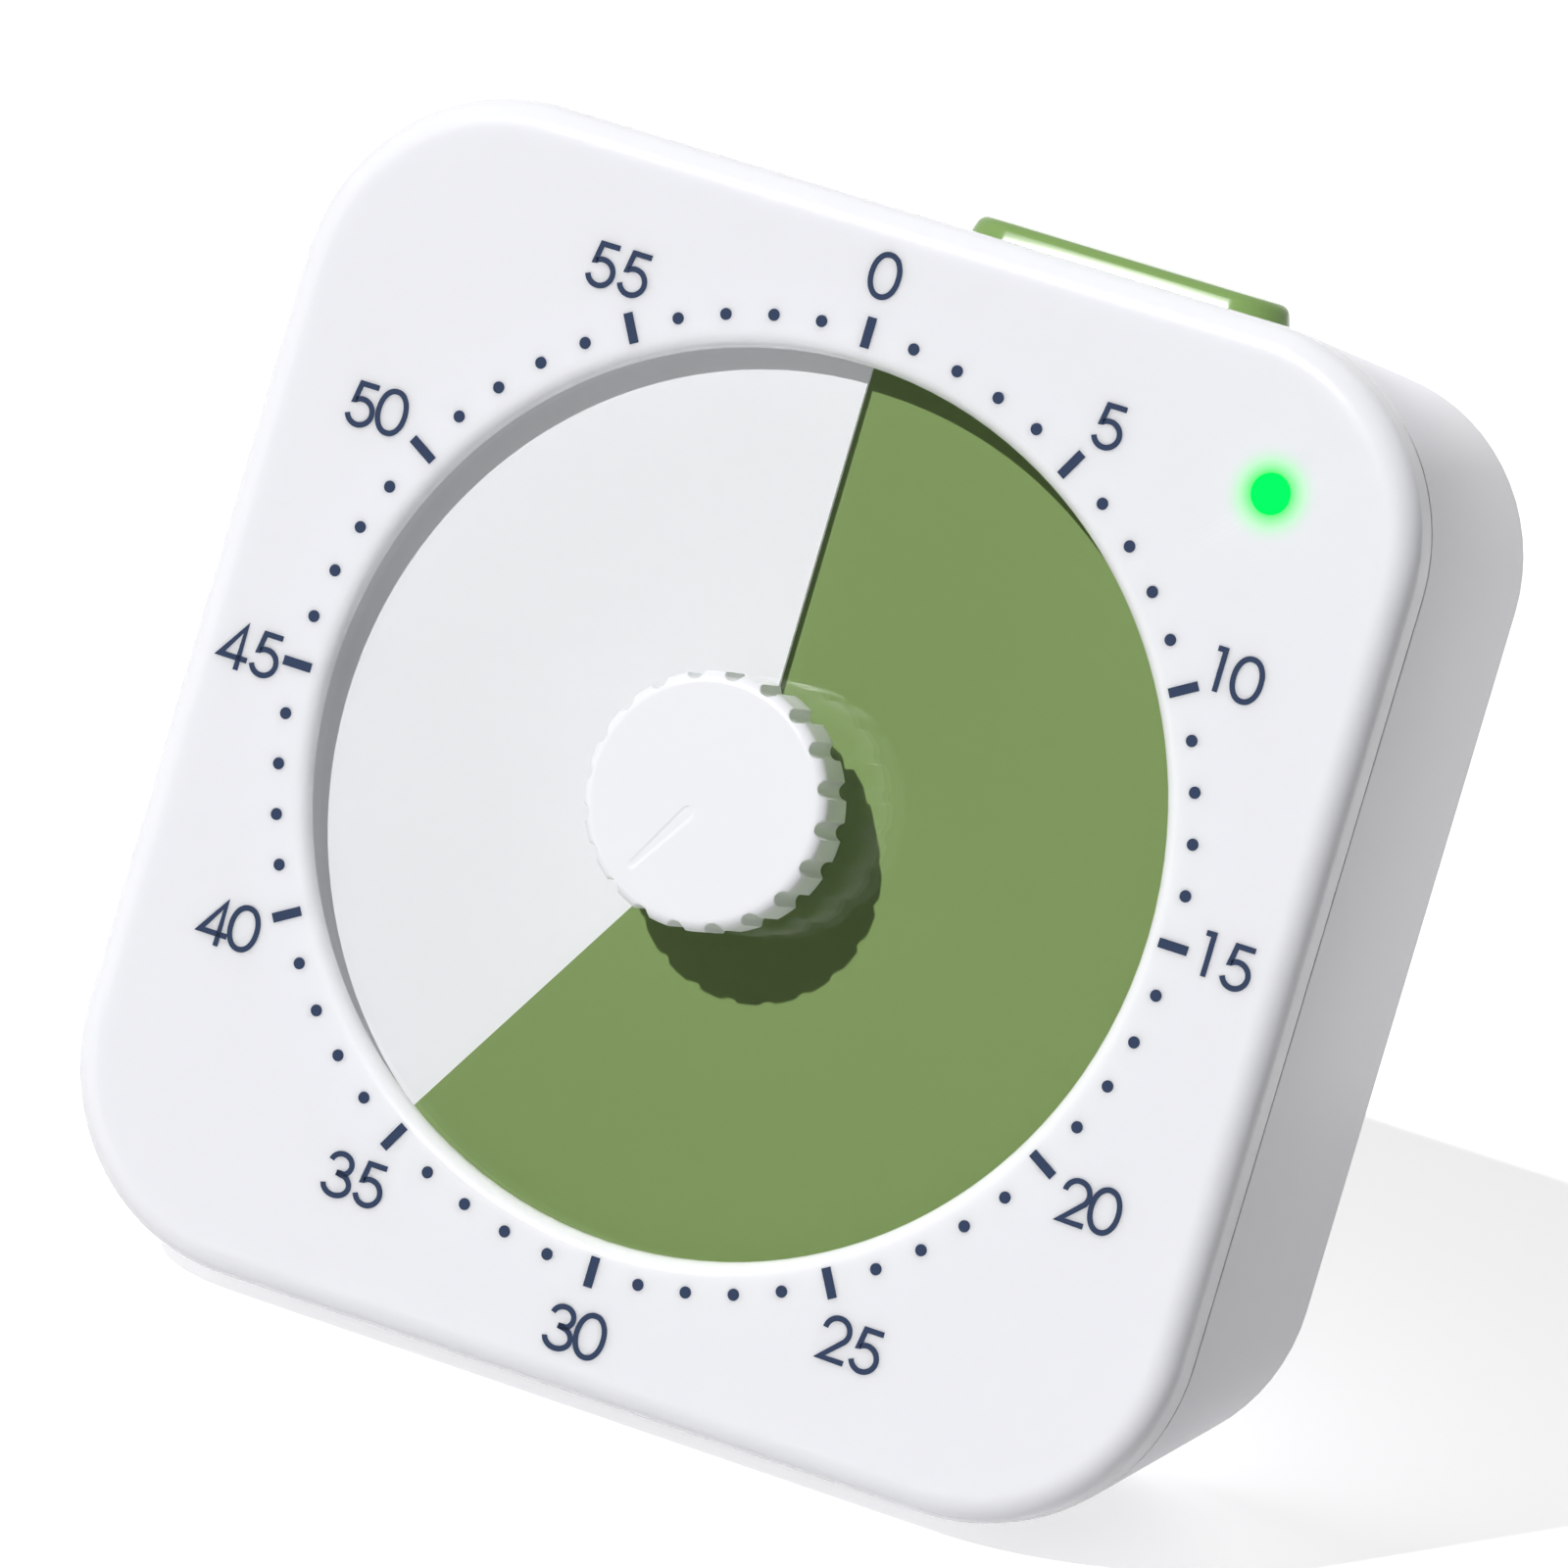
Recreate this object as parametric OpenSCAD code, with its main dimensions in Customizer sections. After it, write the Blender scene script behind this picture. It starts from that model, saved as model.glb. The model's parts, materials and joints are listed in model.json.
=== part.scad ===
// Sixty-minute visual countdown timer: a square desk timer with a finger-turned knob, a white dial
// with a radial slit and a green disc that winds out through the slit to show the minutes left.
// Inside are a stepping movement with a slipping clutch, a circuit board, a sounder and two cells.
//
// Everything but the base pad is drawn in the face frame: x to the right, y up the face and z out
// of the face, with the dial's centre on the face at the origin. in_row_frame() leans it back.

/* [Case] */
// Width and height of the square face
case_w = 140; // [132:1:170]
// Radius of the case's four corners
corner_r = 25; // [22:0.5:30]
// Depth of the whole case, face to back
case_depth = 52; // [50:0.5:64]
// Depth of the front cover's side
cover_depth = 6.6; // [6:0.1:8]
// Rounding of the face's outer edge
front_edge_r = 3.5; // [1:0.1:4]
// Rounding of the rear edge
rear_edge_r = 2.5; // [1:0.1:4]
// Wall thickness of cover and housing
wall = 2.5; // [1.8:0.1:3]
// Thickness of the face around the window
face_t = 2; // [1.5:0.1:3]
// Draft of the rear housing's top and sides
draft = 3.5; // [1:0.1:4]
// Angle by which the timer leans back on its base
lean = 11; // [5:0.5:14]
// Open groove along the parting line
parting_gap = 0.4; // [0.2:0.05:0.8]

/* [Base] */
// Width of the anti-slip pad
pad_w = 84; // [60:1:88]
// Depth of the anti-slip pad
pad_d = 30; // [20:1:34]
// Thickness of the anti-slip pad
pad_t = 2.5; // [2:0.1:3]
// How far the pad stands out of the base
pad_proud = 1.5; // [1.2:0.1:1.8]

/* [Dial] */
// Radius of the window in the face
window_r = 52; // [46:0.5:53]
// Thickness of the clear lens
lens_t = 1.5; // [1:0.1:2]
// Width of the ring that holds the lens, beyond the window
rim_lap = 6; // [5.5:0.1:6.5]
// Axial rise of the disc in one whole turn
pitch = 2.4; // [2.2:0.1:3]
// Thickness of the dial sheet
sheet_t = 0.5; // [0.3:0.05:0.6]
// Thickness of the colour disc
disc_t = 0.4; // [0.3:0.05:0.5]
// Radius of the colour disc's hub
hub_r = 7.5; // [6.5:0.1:9]
// Minutes showing on the dial at rest
set_minutes = 35.4; // [0:0.2:60]

/* [Knob] */
// Outer radius of the knob
knob_r = 14.8; // [12:0.1:18]
// Height of the knob
knob_h = 7.1; // [6:0.1:9]
// Gap between the face's plane and the knob's back
knob_lift = 1.6; // [1:0.1:4]
// Rounding of the knob's front edge
knob_edge_r = 1.5; // [1:0.1:2.5]
// Finger flutes around the knob
flutes = 20; // [12:1:24]
// Radius of each flute
flute_r = 1; // [0.6:0.05:1.2]
// Wall of the knob's cap
knob_wall = 1.9; // [1.6:0.1:2.2]
// Radius of the spindle
spindle_r = 3; // [2.5:0.1:3.2]

/* [Movement] */
// Gear module
gear_module = 0.5; // [0.45:0.01:0.52]
// Teeth of the minute wheel
minute_teeth = 60; // [54:1:60]
// Teeth of the third and fourth wheels
wheel_teeth = 48; // [44:1:48]
// Teeth of every pinion
pinion_teeth = 12; // [12:1:13]
// Direction from the spindle to the third arbor
third_dir = 235; // [232:1:238]
// Direction from the third arbor to the fourth
fourth_dir = -15; // [-18:1:-12]
// Direction from the fourth arbor to the rotor
rotor_dir = -50; // [-53:1:-47]
// Radius of the wheels' arbors
arbor_r = 0.8; // [0.6:0.05:1]
// Wall of the movement's case
movement_wall = 1.6; // [1.2:0.1:2]

/* [Top button] */
// Length of the top button
button_l = 40; // [30:0.5:40]
// Width of the top button
button_w = 12; // [9:0.5:12]
// Height of the button above the case
button_proud = 2.85; // [1.8:0.05:4]
// Rounding of the button's top edge
button_edge_r = 1.6; // [0.6:0.1:1.8]
// Travel of the top button
button_travel = 1.2; // [0.8:0.1:1.4]
// Button centre, to the right of the dial centre
button_x = 20.5; // [12:0.5:20.5]
// Button centre, behind the face
button_depth = 22; // [21:0.5:24]

/* [Light] */
// Light centre, in from the case's right side
light_in = 18.5; // [18:0.1:20]
// Light centre, down from the case's top
light_down = 18.3; // [18:0.1:20]
// Radius of the light pipe
light_r = 2.35; // [1.5:0.05:2.6]

/* [Battery bay] */
// Radius of one cell
cell_r = 7.25; // [5.2:0.05:7.25]
// Length of one cell without its nub
cell_l = 49.5; // [43:0.1:49.5]
// Thickness of the battery door
door_t = 2; // [1.6:0.1:2.2]
// Height of the bay's centre, below the dial centre
bay_drop = 32; // [30:0.5:33]

/* [Volume slider] */
// Travel of the volume slider
slider_travel = 4; // [3:0.5:6]

/* [Hidden] */
$fn = 48;

over = 0.5;             // how far cutting shapes overrun a face
seat_gap = 0.1;         // clearance of a seated piece
run_gap = 0.05;         // radial clearance of a running fit
slide_gap = 0.3;        // clearance of a cap or a door in its opening
round_steps = 12;       // straight steps in a quarter of a rounded outline

// case
half_w = case_w / 2;
corner_c = half_w - corner_r;
back_wall = case_depth - wall;
light_x = half_w - light_in;
light_y = half_w - light_down;
housing_front = cover_depth + parting_gap;
lip_t = 1.2;
lip_reach = 2;
lip_root = 3;
cavity_half = half_w - wall;

function taper(d) = (d - cover_depth) * tan(draft);
function base_rise(d) = (d - cover_depth) * tan(lean);
function corner_r_at(d) = corner_r - taper(d);
function low_corner_y_at(d) = -half_w + base_rise(d) + corner_r_at(d);
function high_corner_y_at(d) = half_w - taper(d) - corner_r_at(d);
function side_c_at(d) = half_w - taper(d) - corner_r_at(d);
function top_y_at(d) = half_w - taper(d);
function base_y_at(d) = -half_w + base_rise(d);

// place of the case over its base pad
pad_shift = 3;
pad_mid_depth = case_depth / 2 + pad_shift;
base_height = half_w * cos(lean) + cover_depth * sin(lean) + pad_proud;
base_back = pad_mid_depth * cos(lean) + base_y_at(pad_mid_depth) * sin(lean);

// dial stack, as depths behind the face
lens_back = face_t + lens_t;
rim_r = window_r + rim_lap;
rib_t = 1.5;
rib_r = rim_r + slide_gap;
cup_wall = 2.9;
cup_bore_r = rim_r - cup_wall;
disc_edge_gap = 1.1;
disc_r = cup_bore_r - disc_edge_gap;
sheet_r = cup_bore_r - seat_gap;
disc_top_gap = 0.3;
sheet_depth = lens_back + disc_top_gap + pitch / 2;
disc_mid_depth = sheet_depth + pitch / 2;
disc_floor_gap = 3;
cup_floor_depth = disc_mid_depth + pitch + disc_t + disc_floor_gap;

// battery bay, as depths behind the face
door_gap = slide_gap;
bay_wall = 1.5;
cell_floor_gap = 0.5;
cell_door_gap = 0.2;
bay_rim = case_depth - door_t - door_gap;
bay_floor = bay_rim - 2 * cell_r - cell_floor_gap;
cell_depth = bay_rim - cell_r - cell_door_gap;

// Between the cup's floor and the battery bay, the plates, the wheels and the gap behind them share
// the depth that the coil leaves them
plate_full = 2;
train_full = 9.7;
gap_full = 1.9;
coil_r = 3.8;
coil_end_gap = 0.2;
stack_full = 2 * plate_full + train_full + gap_full + bay_wall;
stack_room = bay_floor - cup_floor_depth - coil_r - coil_end_gap - movement_wall;
function share(length) = length * stack_room / stack_full;
cup_floor_t = share(plate_full);
cup_back = cup_floor_depth + cup_floor_t;
plate_t = share(plate_full);
train_front = cup_back + plate_t;
bay_floor_t = share(bay_wall);
movement_gap = share(gap_full);
movement_back = bay_floor - bay_floor_t - movement_gap;
train_back = movement_back - movement_wall;
coil_mid_depth = train_back - coil_end_gap - coil_r;

sheet_hub_gap = 1.5;
sheet_inner_r = hub_r + sheet_hub_gap;
spiral_steps = 72;
full_turn = 360;
set_angle = set_minutes * full_turn / 60;
hub_front_rise = 0.1;
ear_angles = [30, 150, 210, 330];
ear_r = 4;
ear_neck_w = 6.4;
ear_reach = 5.5;
ear_drop = 5;
ear_ring_r = rim_r + ear_reach;
ear_depth = face_t + ear_drop;
ear_t = 2;
cup_screw_l = 6;
lug_l = 4;
rib_back = ear_depth - slide_gap;

// spindle, key and bushing
key_w = 1.2;
key_proud = 0.8;
key_clear = 0.4;
bushing_wall = 1.2;
tip_step = 1;
knob_hub_wall = 3;
key_r = spindle_r + key_proud;
key_front = lens_back + 2 * seat_gap;
lens_hole_r = key_r + key_clear;
bushing_r = key_r + bushing_wall;
spindle_front = knob_lift + knob_h - knob_wall - seat_gap;
tip_r = spindle_r - tip_step;
knob_hub_r = spindle_r + knob_hub_wall;
knob_hub_lift = 0.2;
flute_out = 0.05;
flute_bottom_r = knob_r + flute_out - flute_r;
pointer_inner_r = 2.3;
pointer_in = 3.7;
pointer_outer_r = knob_r - pointer_in;
pointer_inner_w = 2;
pointer_outer_w = 1.2;
pointer_t = 0.3;

// movement, as depths behind the face
collar_t = share(0.9);
collar_r = spindle_r + 1.2;
collar_depth = train_front + share(0.3);
wheel_t = share(1.4);
thin_wheel_t = share(1.2);
minute_depth = collar_depth + collar_t + share(0.1);
clutch_depth = minute_depth + wheel_t + share(0.1);
clutch_t = share(0.7);
clip_t = share(0.6);
clip_r = spindle_r + 2;
third_depth = minute_depth + wheel_t + share(1.5);
fourth_depth = third_depth + thin_wheel_t + share(1.2);
pinion_over = share(0.2);
magnet_depth = fourth_depth + thin_wheel_t + share(0.8);
magnet_t = share(2.2);
magnet_r = 3.2;
stator_t = share(1.2);
stator_depth = coil_mid_depth - stator_t / 2;
arbor_end_gap = 0.3;
bearing_depth = 1;

pressure_angle = 25;
tooth_thinning = 0.1;
flank_steps = 4;
function pitch_r(teeth) = teeth * gear_module / 2;
function centre_distance(a, b) = pitch_r(a) + pitch_r(b);
function polar(r, a) = [r * cos(a), r * sin(a)];
function clock(r, a) = [r * sin(a), r * cos(a)];
third_at = polar(centre_distance(minute_teeth, pinion_teeth), third_dir);
fourth_at = third_at + polar(centre_distance(wheel_teeth, pinion_teeth), fourth_dir);
rotor_at = fourth_at + polar(centre_distance(wheel_teeth, pinion_teeth), rotor_dir);

// Phase that puts gear b in mesh with gear a, whose first tooth points along phase_a
function mesh_phase(dir, phase_a, teeth_a, teeth_b) =
    dir + 180 - full_turn / teeth_b * (0.5 - (dir - phase_a) * teeth_a / full_turn);
minute_phase = 0;
third_pinion_phase = mesh_phase(third_dir, minute_phase, minute_teeth, pinion_teeth);
fourth_pinion_phase = mesh_phase(fourth_dir, third_pinion_phase, wheel_teeth, pinion_teeth);
rotor_pinion_phase = mesh_phase(rotor_dir, fourth_pinion_phase, wheel_teeth, pinion_teeth);

movement_side_gap = 3;
movement_top_gap = 3.5;
coil_shift = 12;
coil_drop = 6.7;
movement_left = -max(pitch_r(minute_teeth), -third_at[0] + pitch_r(wheel_teeth)) - movement_side_gap;
movement_right = -movement_left;
movement_top = pitch_r(minute_teeth) + movement_top_gap;
coil_at = [rotor_at[0] - coil_shift, rotor_at[1] - magnet_r - coil_drop];
coil_l = 20;
core_half_h = 1.5;
core_overhang = 4;
core_half_l = coil_l / 2 + core_overhang;
leg_w = 4;
stator_half_h = magnet_r + 1.6;
stator_post_r = 1.7;
stator_pin_r = 0.8;
stator_post_at = [[coil_at[0] - core_half_l + leg_w / 2, rotor_at[1]],
    [rotor_at[0] + magnet_r + 2.2, rotor_at[1] - stator_half_h + 2],
    [coil_at[0] - core_half_l + leg_w / 2, coil_at[1]],
    [coil_at[0] + core_half_l - leg_w / 2, coil_at[1]]];
movement_bottom = coil_at[1] - coil_r - 0.8 - movement_wall;
lug_r = 3.4;
lug_at = [[movement_left + 2, movement_top + 1.2], [movement_right - 2, movement_top + 1.2],
    [movement_left + 2, movement_bottom - 1.2], [movement_right - 2, movement_bottom - 1.2]];

// screws
pilot_r = 1.2;
shank_r = 1.15;
clear_r = 1.7;
head_r = 2.9;
head_t = 1.8;
small_pilot_r = 0.95;
small_shank_r = 0.9;
small_head_r = 1.9;
small_head_t = 1.3;
small_screw_over = 5;
screw_tip = 0.6;
movement_screw_l = lug_l + plate_t + screw_tip;
socket_w = 1.1;

// case screws
screw_in = 11;
screw_down = 32;
screw_x = half_w - screw_in;
screw_y = half_w - screw_down;
boss_r = 3.5;
boss_over = 2;
tube_gap = 0.4;
tube_floor = 9.6;
boss_back = cup_back + boss_over;
tube_r = 4.6;
tube_front = boss_back + tube_gap;
screw_seat = tube_front + tube_floor;
tunnel_r = 3.3;
screw_reach = 18;
case_screw_at = [[screw_x, screw_y], [-screw_x, screw_y], [screw_x, -screw_y], [-screw_x, -screw_y]];

// top button, as heights above the dial centre
button_top = top_y_at(button_depth) + button_proud;
flange_over = 1.5;
flange_t = 1.2;
flange_top = top_y_at(button_depth + button_w / 2 + flange_over) - wall - 0.15;
flange_bottom = flange_top - flange_t;
switch_body_t = 3.5;
switch_body_w = 6;
plunger_h = 0.8;
plunger_r = 1.7;
plunger_travel = 0.3;
stem_gap = button_travel - plunger_travel + run_gap;
board_t = 1.6;
spring_h = 9;
switch_board_top = flange_bottom - spring_h - seat_gap;
plunger_top = switch_board_top + switch_body_t + plunger_h;
stem_bottom = plunger_top + stem_gap;
stem_r = 2.4;
post_gap = 4;
post_r = 2.5;
post_dx = button_l / 2 + flange_over + post_gap;
switch_board_end = 3.5;
switch_board_l = 2 * (post_dx + switch_board_end);
switch_board_w = 12;
button_spring_in = 6;
button_spring_dx = button_l / 2 - button_spring_in;
button_spring_r = 2.2;
button_wire_r = 0.3;

// light
light_flange_over = 1.1;
light_flange_r = light_r + light_flange_over;
light_flange_t = 1.4;
light_pipe_l = 5;
light_pipe_back = face_t + light_pipe_l;
led_gap = 0.3;
led_t = 1.2;
led_board_depth = light_pipe_back + led_gap + led_t;
led_board_l = 17;
led_board_w = 10;
led_post_dx = 6;
led_post_r = 1.8;
led_pin_r = 0.8;

// battery bay, as distances from its centre line
plate_thin = 0.4;
nub_h = 1;
nub_r = 2.75;
contact_spring_l = 5.6;
bay_half_l = (cell_l + nub_h + contact_spring_l + 2 * plate_thin) / 2 + 0.3;
cell_gap = 0.6;
bay_half_h = 2 * cell_r + cell_gap / 2 + 0.4;
cell_dy = cell_r + cell_gap / 2;
door_half_l = bay_half_l + bay_wall;
door_half_h = bay_half_h + bay_wall;
tab_x = 18;
tab_w = 8;
tab_t = 1.2;
tab_drop = 1.6;
tab_gap = 0.2;
grip_w = 14;
grip_h = 6;
contact_spring_r = 3.2;
contact_wire_r = 0.4;
contact_w = 10;
tail_w = 2;
tail_l = 2;

// main board
board_drop = 3.4;
board_bay_gap = 4;
main_board_h = 54;
main_board_depth = bay_floor + board_drop;
main_board_half_l = 48;
main_board_bottom = -bay_drop + door_half_h + board_bay_gap;
main_board_top = main_board_bottom + main_board_h;
main_board_back = main_board_depth + board_t;
board_hole_in = 4;
board_post_at = [
    [-main_board_half_l + board_hole_in, main_board_bottom + board_hole_in],
    [main_board_half_l - board_hole_in, main_board_bottom + board_hole_in],
    [-main_board_half_l + board_hole_in, main_board_top - board_hole_in],
    [main_board_half_l - board_hole_in, main_board_top - board_hole_in]];
buzzer_x = 28;
buzzer_y = 18;
buzzer_at = [-buzzer_x, buzzer_y];
buzzer_r = 7;
buzzer_t = 7;
sound_hole_r = 0.8;
sound_ring_r = 4;
chip_x = 6;
chip_y = 24;
chip_w = 9;
chip_t = 1.6;
part_step = 14;
capacitor_r = 2.5;
part_clear = 0.8;
capacitor_h = main_board_depth - movement_back - part_clear;
chip_at = [chip_x, chip_y];
slider_x = 28;
slider_y = 18;
slider_at = [slider_x, slider_y];
slider_w = 7;
slider_h = 5;
slider_proud = 1.4;
slider_stem_w = 3;
volume_body_w = 14;
volume_body_h = 6;
volume_body_t = 4;
volume_body_back = main_board_back + volume_body_t;

wire_r = 0.6;
wire_sides = 8;

// ---- frames and outlines -------------------------------------------------------------------

// Leans the upright face frame back onto the base
module in_row_frame() {
    translate([0, -base_back, base_height])
        rotate([-lean, 0, 0])
            rotate([90, 0, 0])
                children();
}

// Moves to a point on the face and a depth behind it
module at(place, depth) {
    translate([place[0], place[1], -depth]) children();
}

// Cylinder or prism that starts at a depth and runs towards the back
module peg(place, depth, length, radius) {
    at(place, depth + length) cylinder(h = length, r = radius);
}

module block(place, depth, size) {
    at([place[0] - size[0] / 2, place[1] - size[1] / 2], depth + size[2]) cube(size);
}

module plate(depth, thickness) {
    translate([0, 0, -depth - thickness]) linear_extrude(thickness) children();
}

function corner_points(cx, cy, r, from) =
    [for (i = [0:round_steps]) [cx, cy] + polar(r, from + 90 * i / round_steps)];

function rounded_outline(half_x, half_y, r) = concat(
    corner_points(half_x - r, half_y - r, r, 0),
    corner_points(-half_x + r, half_y - r, r, 90),
    corner_points(-half_x + r, -half_y + r, r, 180),
    corner_points(half_x - r, -half_y + r, r, 270));

module slot_outline(length, width) {
    square([length - width, width], center = true);
    for (side = [-1, 1]) translate([side * (length - width) / 2, 0]) circle(d = width);
}

// Four corner pucks of the rear housing at one depth, for a hull
module corner_pucks(d, shrink, thickness) {
    for (side = [-1, 1]) {
        translate([side * side_c_at(d), high_corner_y_at(d), -d])
            cylinder(h = thickness, r = corner_r_at(d) - shrink, $fn = 64);
        translate([side * side_c_at(d), low_corner_y_at(d), -d])
            cylinder(h = thickness, r = corner_r_at(d) - shrink, $fn = 64);
    }
}

// ---- threads of wire: springs and leads ----------------------------------------------------

function ring_faces(rings, sides) = [
    for (i = [0:rings - 2]) for (j = [0:sides - 1]) for (half = [0, 1])
        let (a = i * sides + j, b = i * sides + (j + 1) % sides, c = b + sides, d = a + sides)
            half == 0 ? [a, b, c] : [a, c, d]];

function end_faces(rings, sides) = [
    [for (j = [sides - 1:-1:0]) j],
    [for (j = [0:sides - 1]) (rings - 1) * sides + j]];

// Coil spring that stands on the origin along +z
module coil_spring(radius, height, turns, wire) {
    sides = 6;
    rings = turns * 12 + 1;
    points = [for (i = [0:rings - 1]) for (j = [0:sides - 1])
        let (a = 30 * i, b = full_turn * j / sides, r = radius - wire + wire * cos(b))
            [r * cos(a), r * sin(a), wire + (height - 2 * wire) * i / (rings - 1) + wire * sin(b)]];
    polyhedron(points, concat(ring_faces(rings, sides), end_faces(rings, sides)), convexity = 8);
}

function unit(v) = v / norm(v);
function path_dir(path, i) =
    unit(path[min(i + 1, len(path) - 1)] - path[max(i - 1, 0)]);

// Side directions carried along a path without twisting
function carried(side, t) = unit(side - (side * t) * t);
function path_sides(path, i, side) = i == len(path) ? []
    : let (s = carried(side, path_dir(path, i))) concat([s], path_sides(path, i + 1, s));

// Points of a smooth curve through hand-chosen stations, three steps to each
function curve_at(p0, p1, p2, p3, t) = 0.5 * (2 * p1 + (p2 - p0) * t
    + (2 * p0 - 5 * p1 + 4 * p2 - p3) * t * t + (3 * p1 - p0 - 3 * p2 + p3) * t * t * t);
function smooth_path(p) = let (last = len(p) - 1) concat([
    for (i = [0:last - 1]) for (k = [0:2])
        curve_at(p[max(i - 1, 0)], p[i], p[i + 1], p[min(i + 2, last)], k / 3)], [p[last]]);

module lead(stations) {
    path = smooth_path(stations);
    sides = path_sides(path, 0, [0.6, 0.2, 0.77]);
    points = [for (i = [0:len(path) - 1]) for (j = [0:wire_sides - 1])
        let (s = sides[i], u = cross(s, path_dir(path, i)), a = full_turn * j / wire_sides)
            path[i] + wire_r * (cos(a) * s + sin(a) * u)];
    polyhedron(points, concat(ring_faces(len(path), wire_sides), end_faces(len(path), wire_sides)),
        convexity = 8);
}

// ---- gears ---------------------------------------------------------------------------------

function involute(a) = tan(a) - a * PI / 180;
function half_tooth(r, teeth) =
    let (base_r = pitch_r(teeth) * cos(pressure_angle), flank_r = max(r, base_r))
        (PI * gear_module / 2 - tooth_thinning) / 2 / pitch_r(teeth) * 180 / PI
        + (involute(pressure_angle) - involute(acos(base_r / flank_r))) * 180 / PI;

function gear_outline(teeth, phase) =
    let (root_r = pitch_r(teeth) - 1.2 * gear_module, tip_r = pitch_r(teeth) + 0.9 * gear_module)
        [for (k = [0:teeth - 1]) for (side = [-1, 1]) for (i = [0:flank_steps])
            let (f = side < 0 ? i : flank_steps - i, r = root_r + (tip_r - root_r) * f / flank_steps)
                polar(r, phase + full_turn * k / teeth + side * half_tooth(r, teeth))];

module gear(depth, thickness, teeth, phase) {
    plate(depth, thickness) polygon(gear_outline(teeth, phase));
}

// ---- fasteners -----------------------------------------------------------------------------

// Screw whose head seats at a depth with its shank towards the face
module screw(place, seat, reach, shank, head, head_height) {
    difference() {
        union() {
            peg(place, seat - reach, reach, shank);
            peg(place, seat, head_height, head);
        }
        for (turn = [0, 90])
            at(place, seat + head_height) rotate([0, 0, turn])
                translate([-head * 0.6, -socket_w / 2, -over]) cube([head * 1.2, socket_w, over + 0.7]);
    }
}

module small_screw(place, seat, reach) {
    screw(place, seat, reach, small_shank_r, small_head_r, small_head_t);
}

// ---- front ---------------------------------------------------------------------------------

module rounded_slab() {
    steps = 6;
    hull() for (sx = [-1, 1]) for (sy = [-1, 1])
        translate([sx * corner_c, sy * corner_c, 0])
            rotate_extrude($fn = 64) polygon(concat(
                [[0, -cover_depth], [corner_r, -cover_depth]],
                [for (i = [0:steps]) [corner_r - front_edge_r, -front_edge_r]
                    + polar(front_edge_r, 90 * i / steps)],
                [[0, 0]]));
}

module front_cover() {
    color("whitesmoke") in_row_frame() difference() {
        union() {
            difference() {
                rounded_slab();
                plate(face_t, case_depth)
                    polygon(rounded_outline(cavity_half, cavity_half, corner_r - wall));
            }
            plate(face_t - over, rib_back - face_t + over) difference() {
                circle(r = rib_r + rib_t, $fn = 96);
                circle(r = rib_r, $fn = 96);
            }
            for (a = ear_angles)
                peg(clock(ear_ring_r, a), face_t - over, ear_depth - face_t + over, boss_r);
            for (p = case_screw_at) peg(p, face_t - over, boss_back - face_t + over, boss_r);
            for (side = [-1, 1])
                at([light_x, light_y], 0) rotate([0, 0, -45]) {
                    peg([side * led_post_dx, 0], face_t - over, led_board_depth - face_t + over, led_post_r);
                    peg([side * led_post_dx, 0], face_t, led_board_depth + board_t + 0.6 - face_t, led_pin_r);
                }
        }
        peg([0, 0], -over, face_t + 2 * over, window_r, $fn = 128);
        peg([light_x, light_y], -over, face_t + 2 * over, light_r + run_gap);
        for (a = ear_angles)
            peg(clock(ear_ring_r, a), face_t + 0.8, ear_depth, small_pilot_r);
        for (p = case_screw_at) peg(p, face_t + 2, boss_back, pilot_r);
    }
}

module lens() {
    color([0.85, 0.9, 0.95, 0.35]) in_row_frame() plate(face_t, lens_t) difference() {
        circle(r = rim_r, $fn = 128);
        circle(r = lens_hole_r);
    }
}

module light_pipe() {
    color("lime") in_row_frame() {
        peg([light_x, light_y], 0, light_pipe_back, light_r);
        peg([light_x, light_y], face_t, light_flange_t, light_flange_r);
    }
}

module status_led() {
    color("lightyellow") in_row_frame()
        block([light_x, light_y], light_pipe_back + led_gap, [3.2, 2.8, led_t]);
}

module led_board() {
    color("seagreen") in_row_frame() at([light_x, light_y], 0) rotate([0, 0, -45])
        plate(led_board_depth, board_t) difference() {
            polygon(rounded_outline(led_board_l / 2, led_board_w / 2, 1.5));
            for (side = [-1, 1]) translate([side * led_post_dx, 0]) circle(r = led_pin_r + run_gap);
        }
}

// ---- dial ----------------------------------------------------------------------------------

module dial_cup() {
    color("gainsboro") in_row_frame() difference() {
        union() {
            plate(lens_back, cup_back - lens_back) circle(r = rim_r, $fn = 128);
            for (a = ear_angles) {
                peg(clock(ear_ring_r, a), ear_depth, ear_t, ear_r);
                rotate([0, 0, -a]) at([-ear_neck_w / 2, rim_r - 2], ear_depth + ear_t)
                    cube([ear_neck_w, ear_ring_r - rim_r, ear_t]);
            }
            for (p = lug_at) peg(p, cup_back - over, lug_l + over, lug_r);
        }
        plate(lens_back - over, cup_floor_depth - lens_back + over) circle(r = cup_bore_r, $fn = 128);
        peg([0, 0], 0, cup_back + over, bushing_r + seat_gap);
        for (a = ear_angles) peg(clock(ear_ring_r, a), 0, cup_back, small_pilot_r + 0.2);
        for (p = lug_at) peg(p, cup_back - 1, lug_l + 1 + over, small_pilot_r);
    }
}

// One-turn helical sheet: front_depth(a) is the depth of its front at the clock angle a
module spiral_sheet(inner, outer, from, depth_at_from, thickness) {
    points = [for (i = [0:spiral_steps])
        let (a = from + full_turn * i / spiral_steps, d = depth_at_from - pitch * i / spiral_steps)
            for (p = [[inner, 0], [outer, 0], [outer, thickness], [inner, thickness]])
                [p[0] * sin(a), p[0] * cos(a), -d - p[1]]];
    polyhedron(points, concat(ring_faces(spiral_steps + 1, 4), end_faces(spiral_steps + 1, 4)),
        convexity = 6);
}

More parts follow.
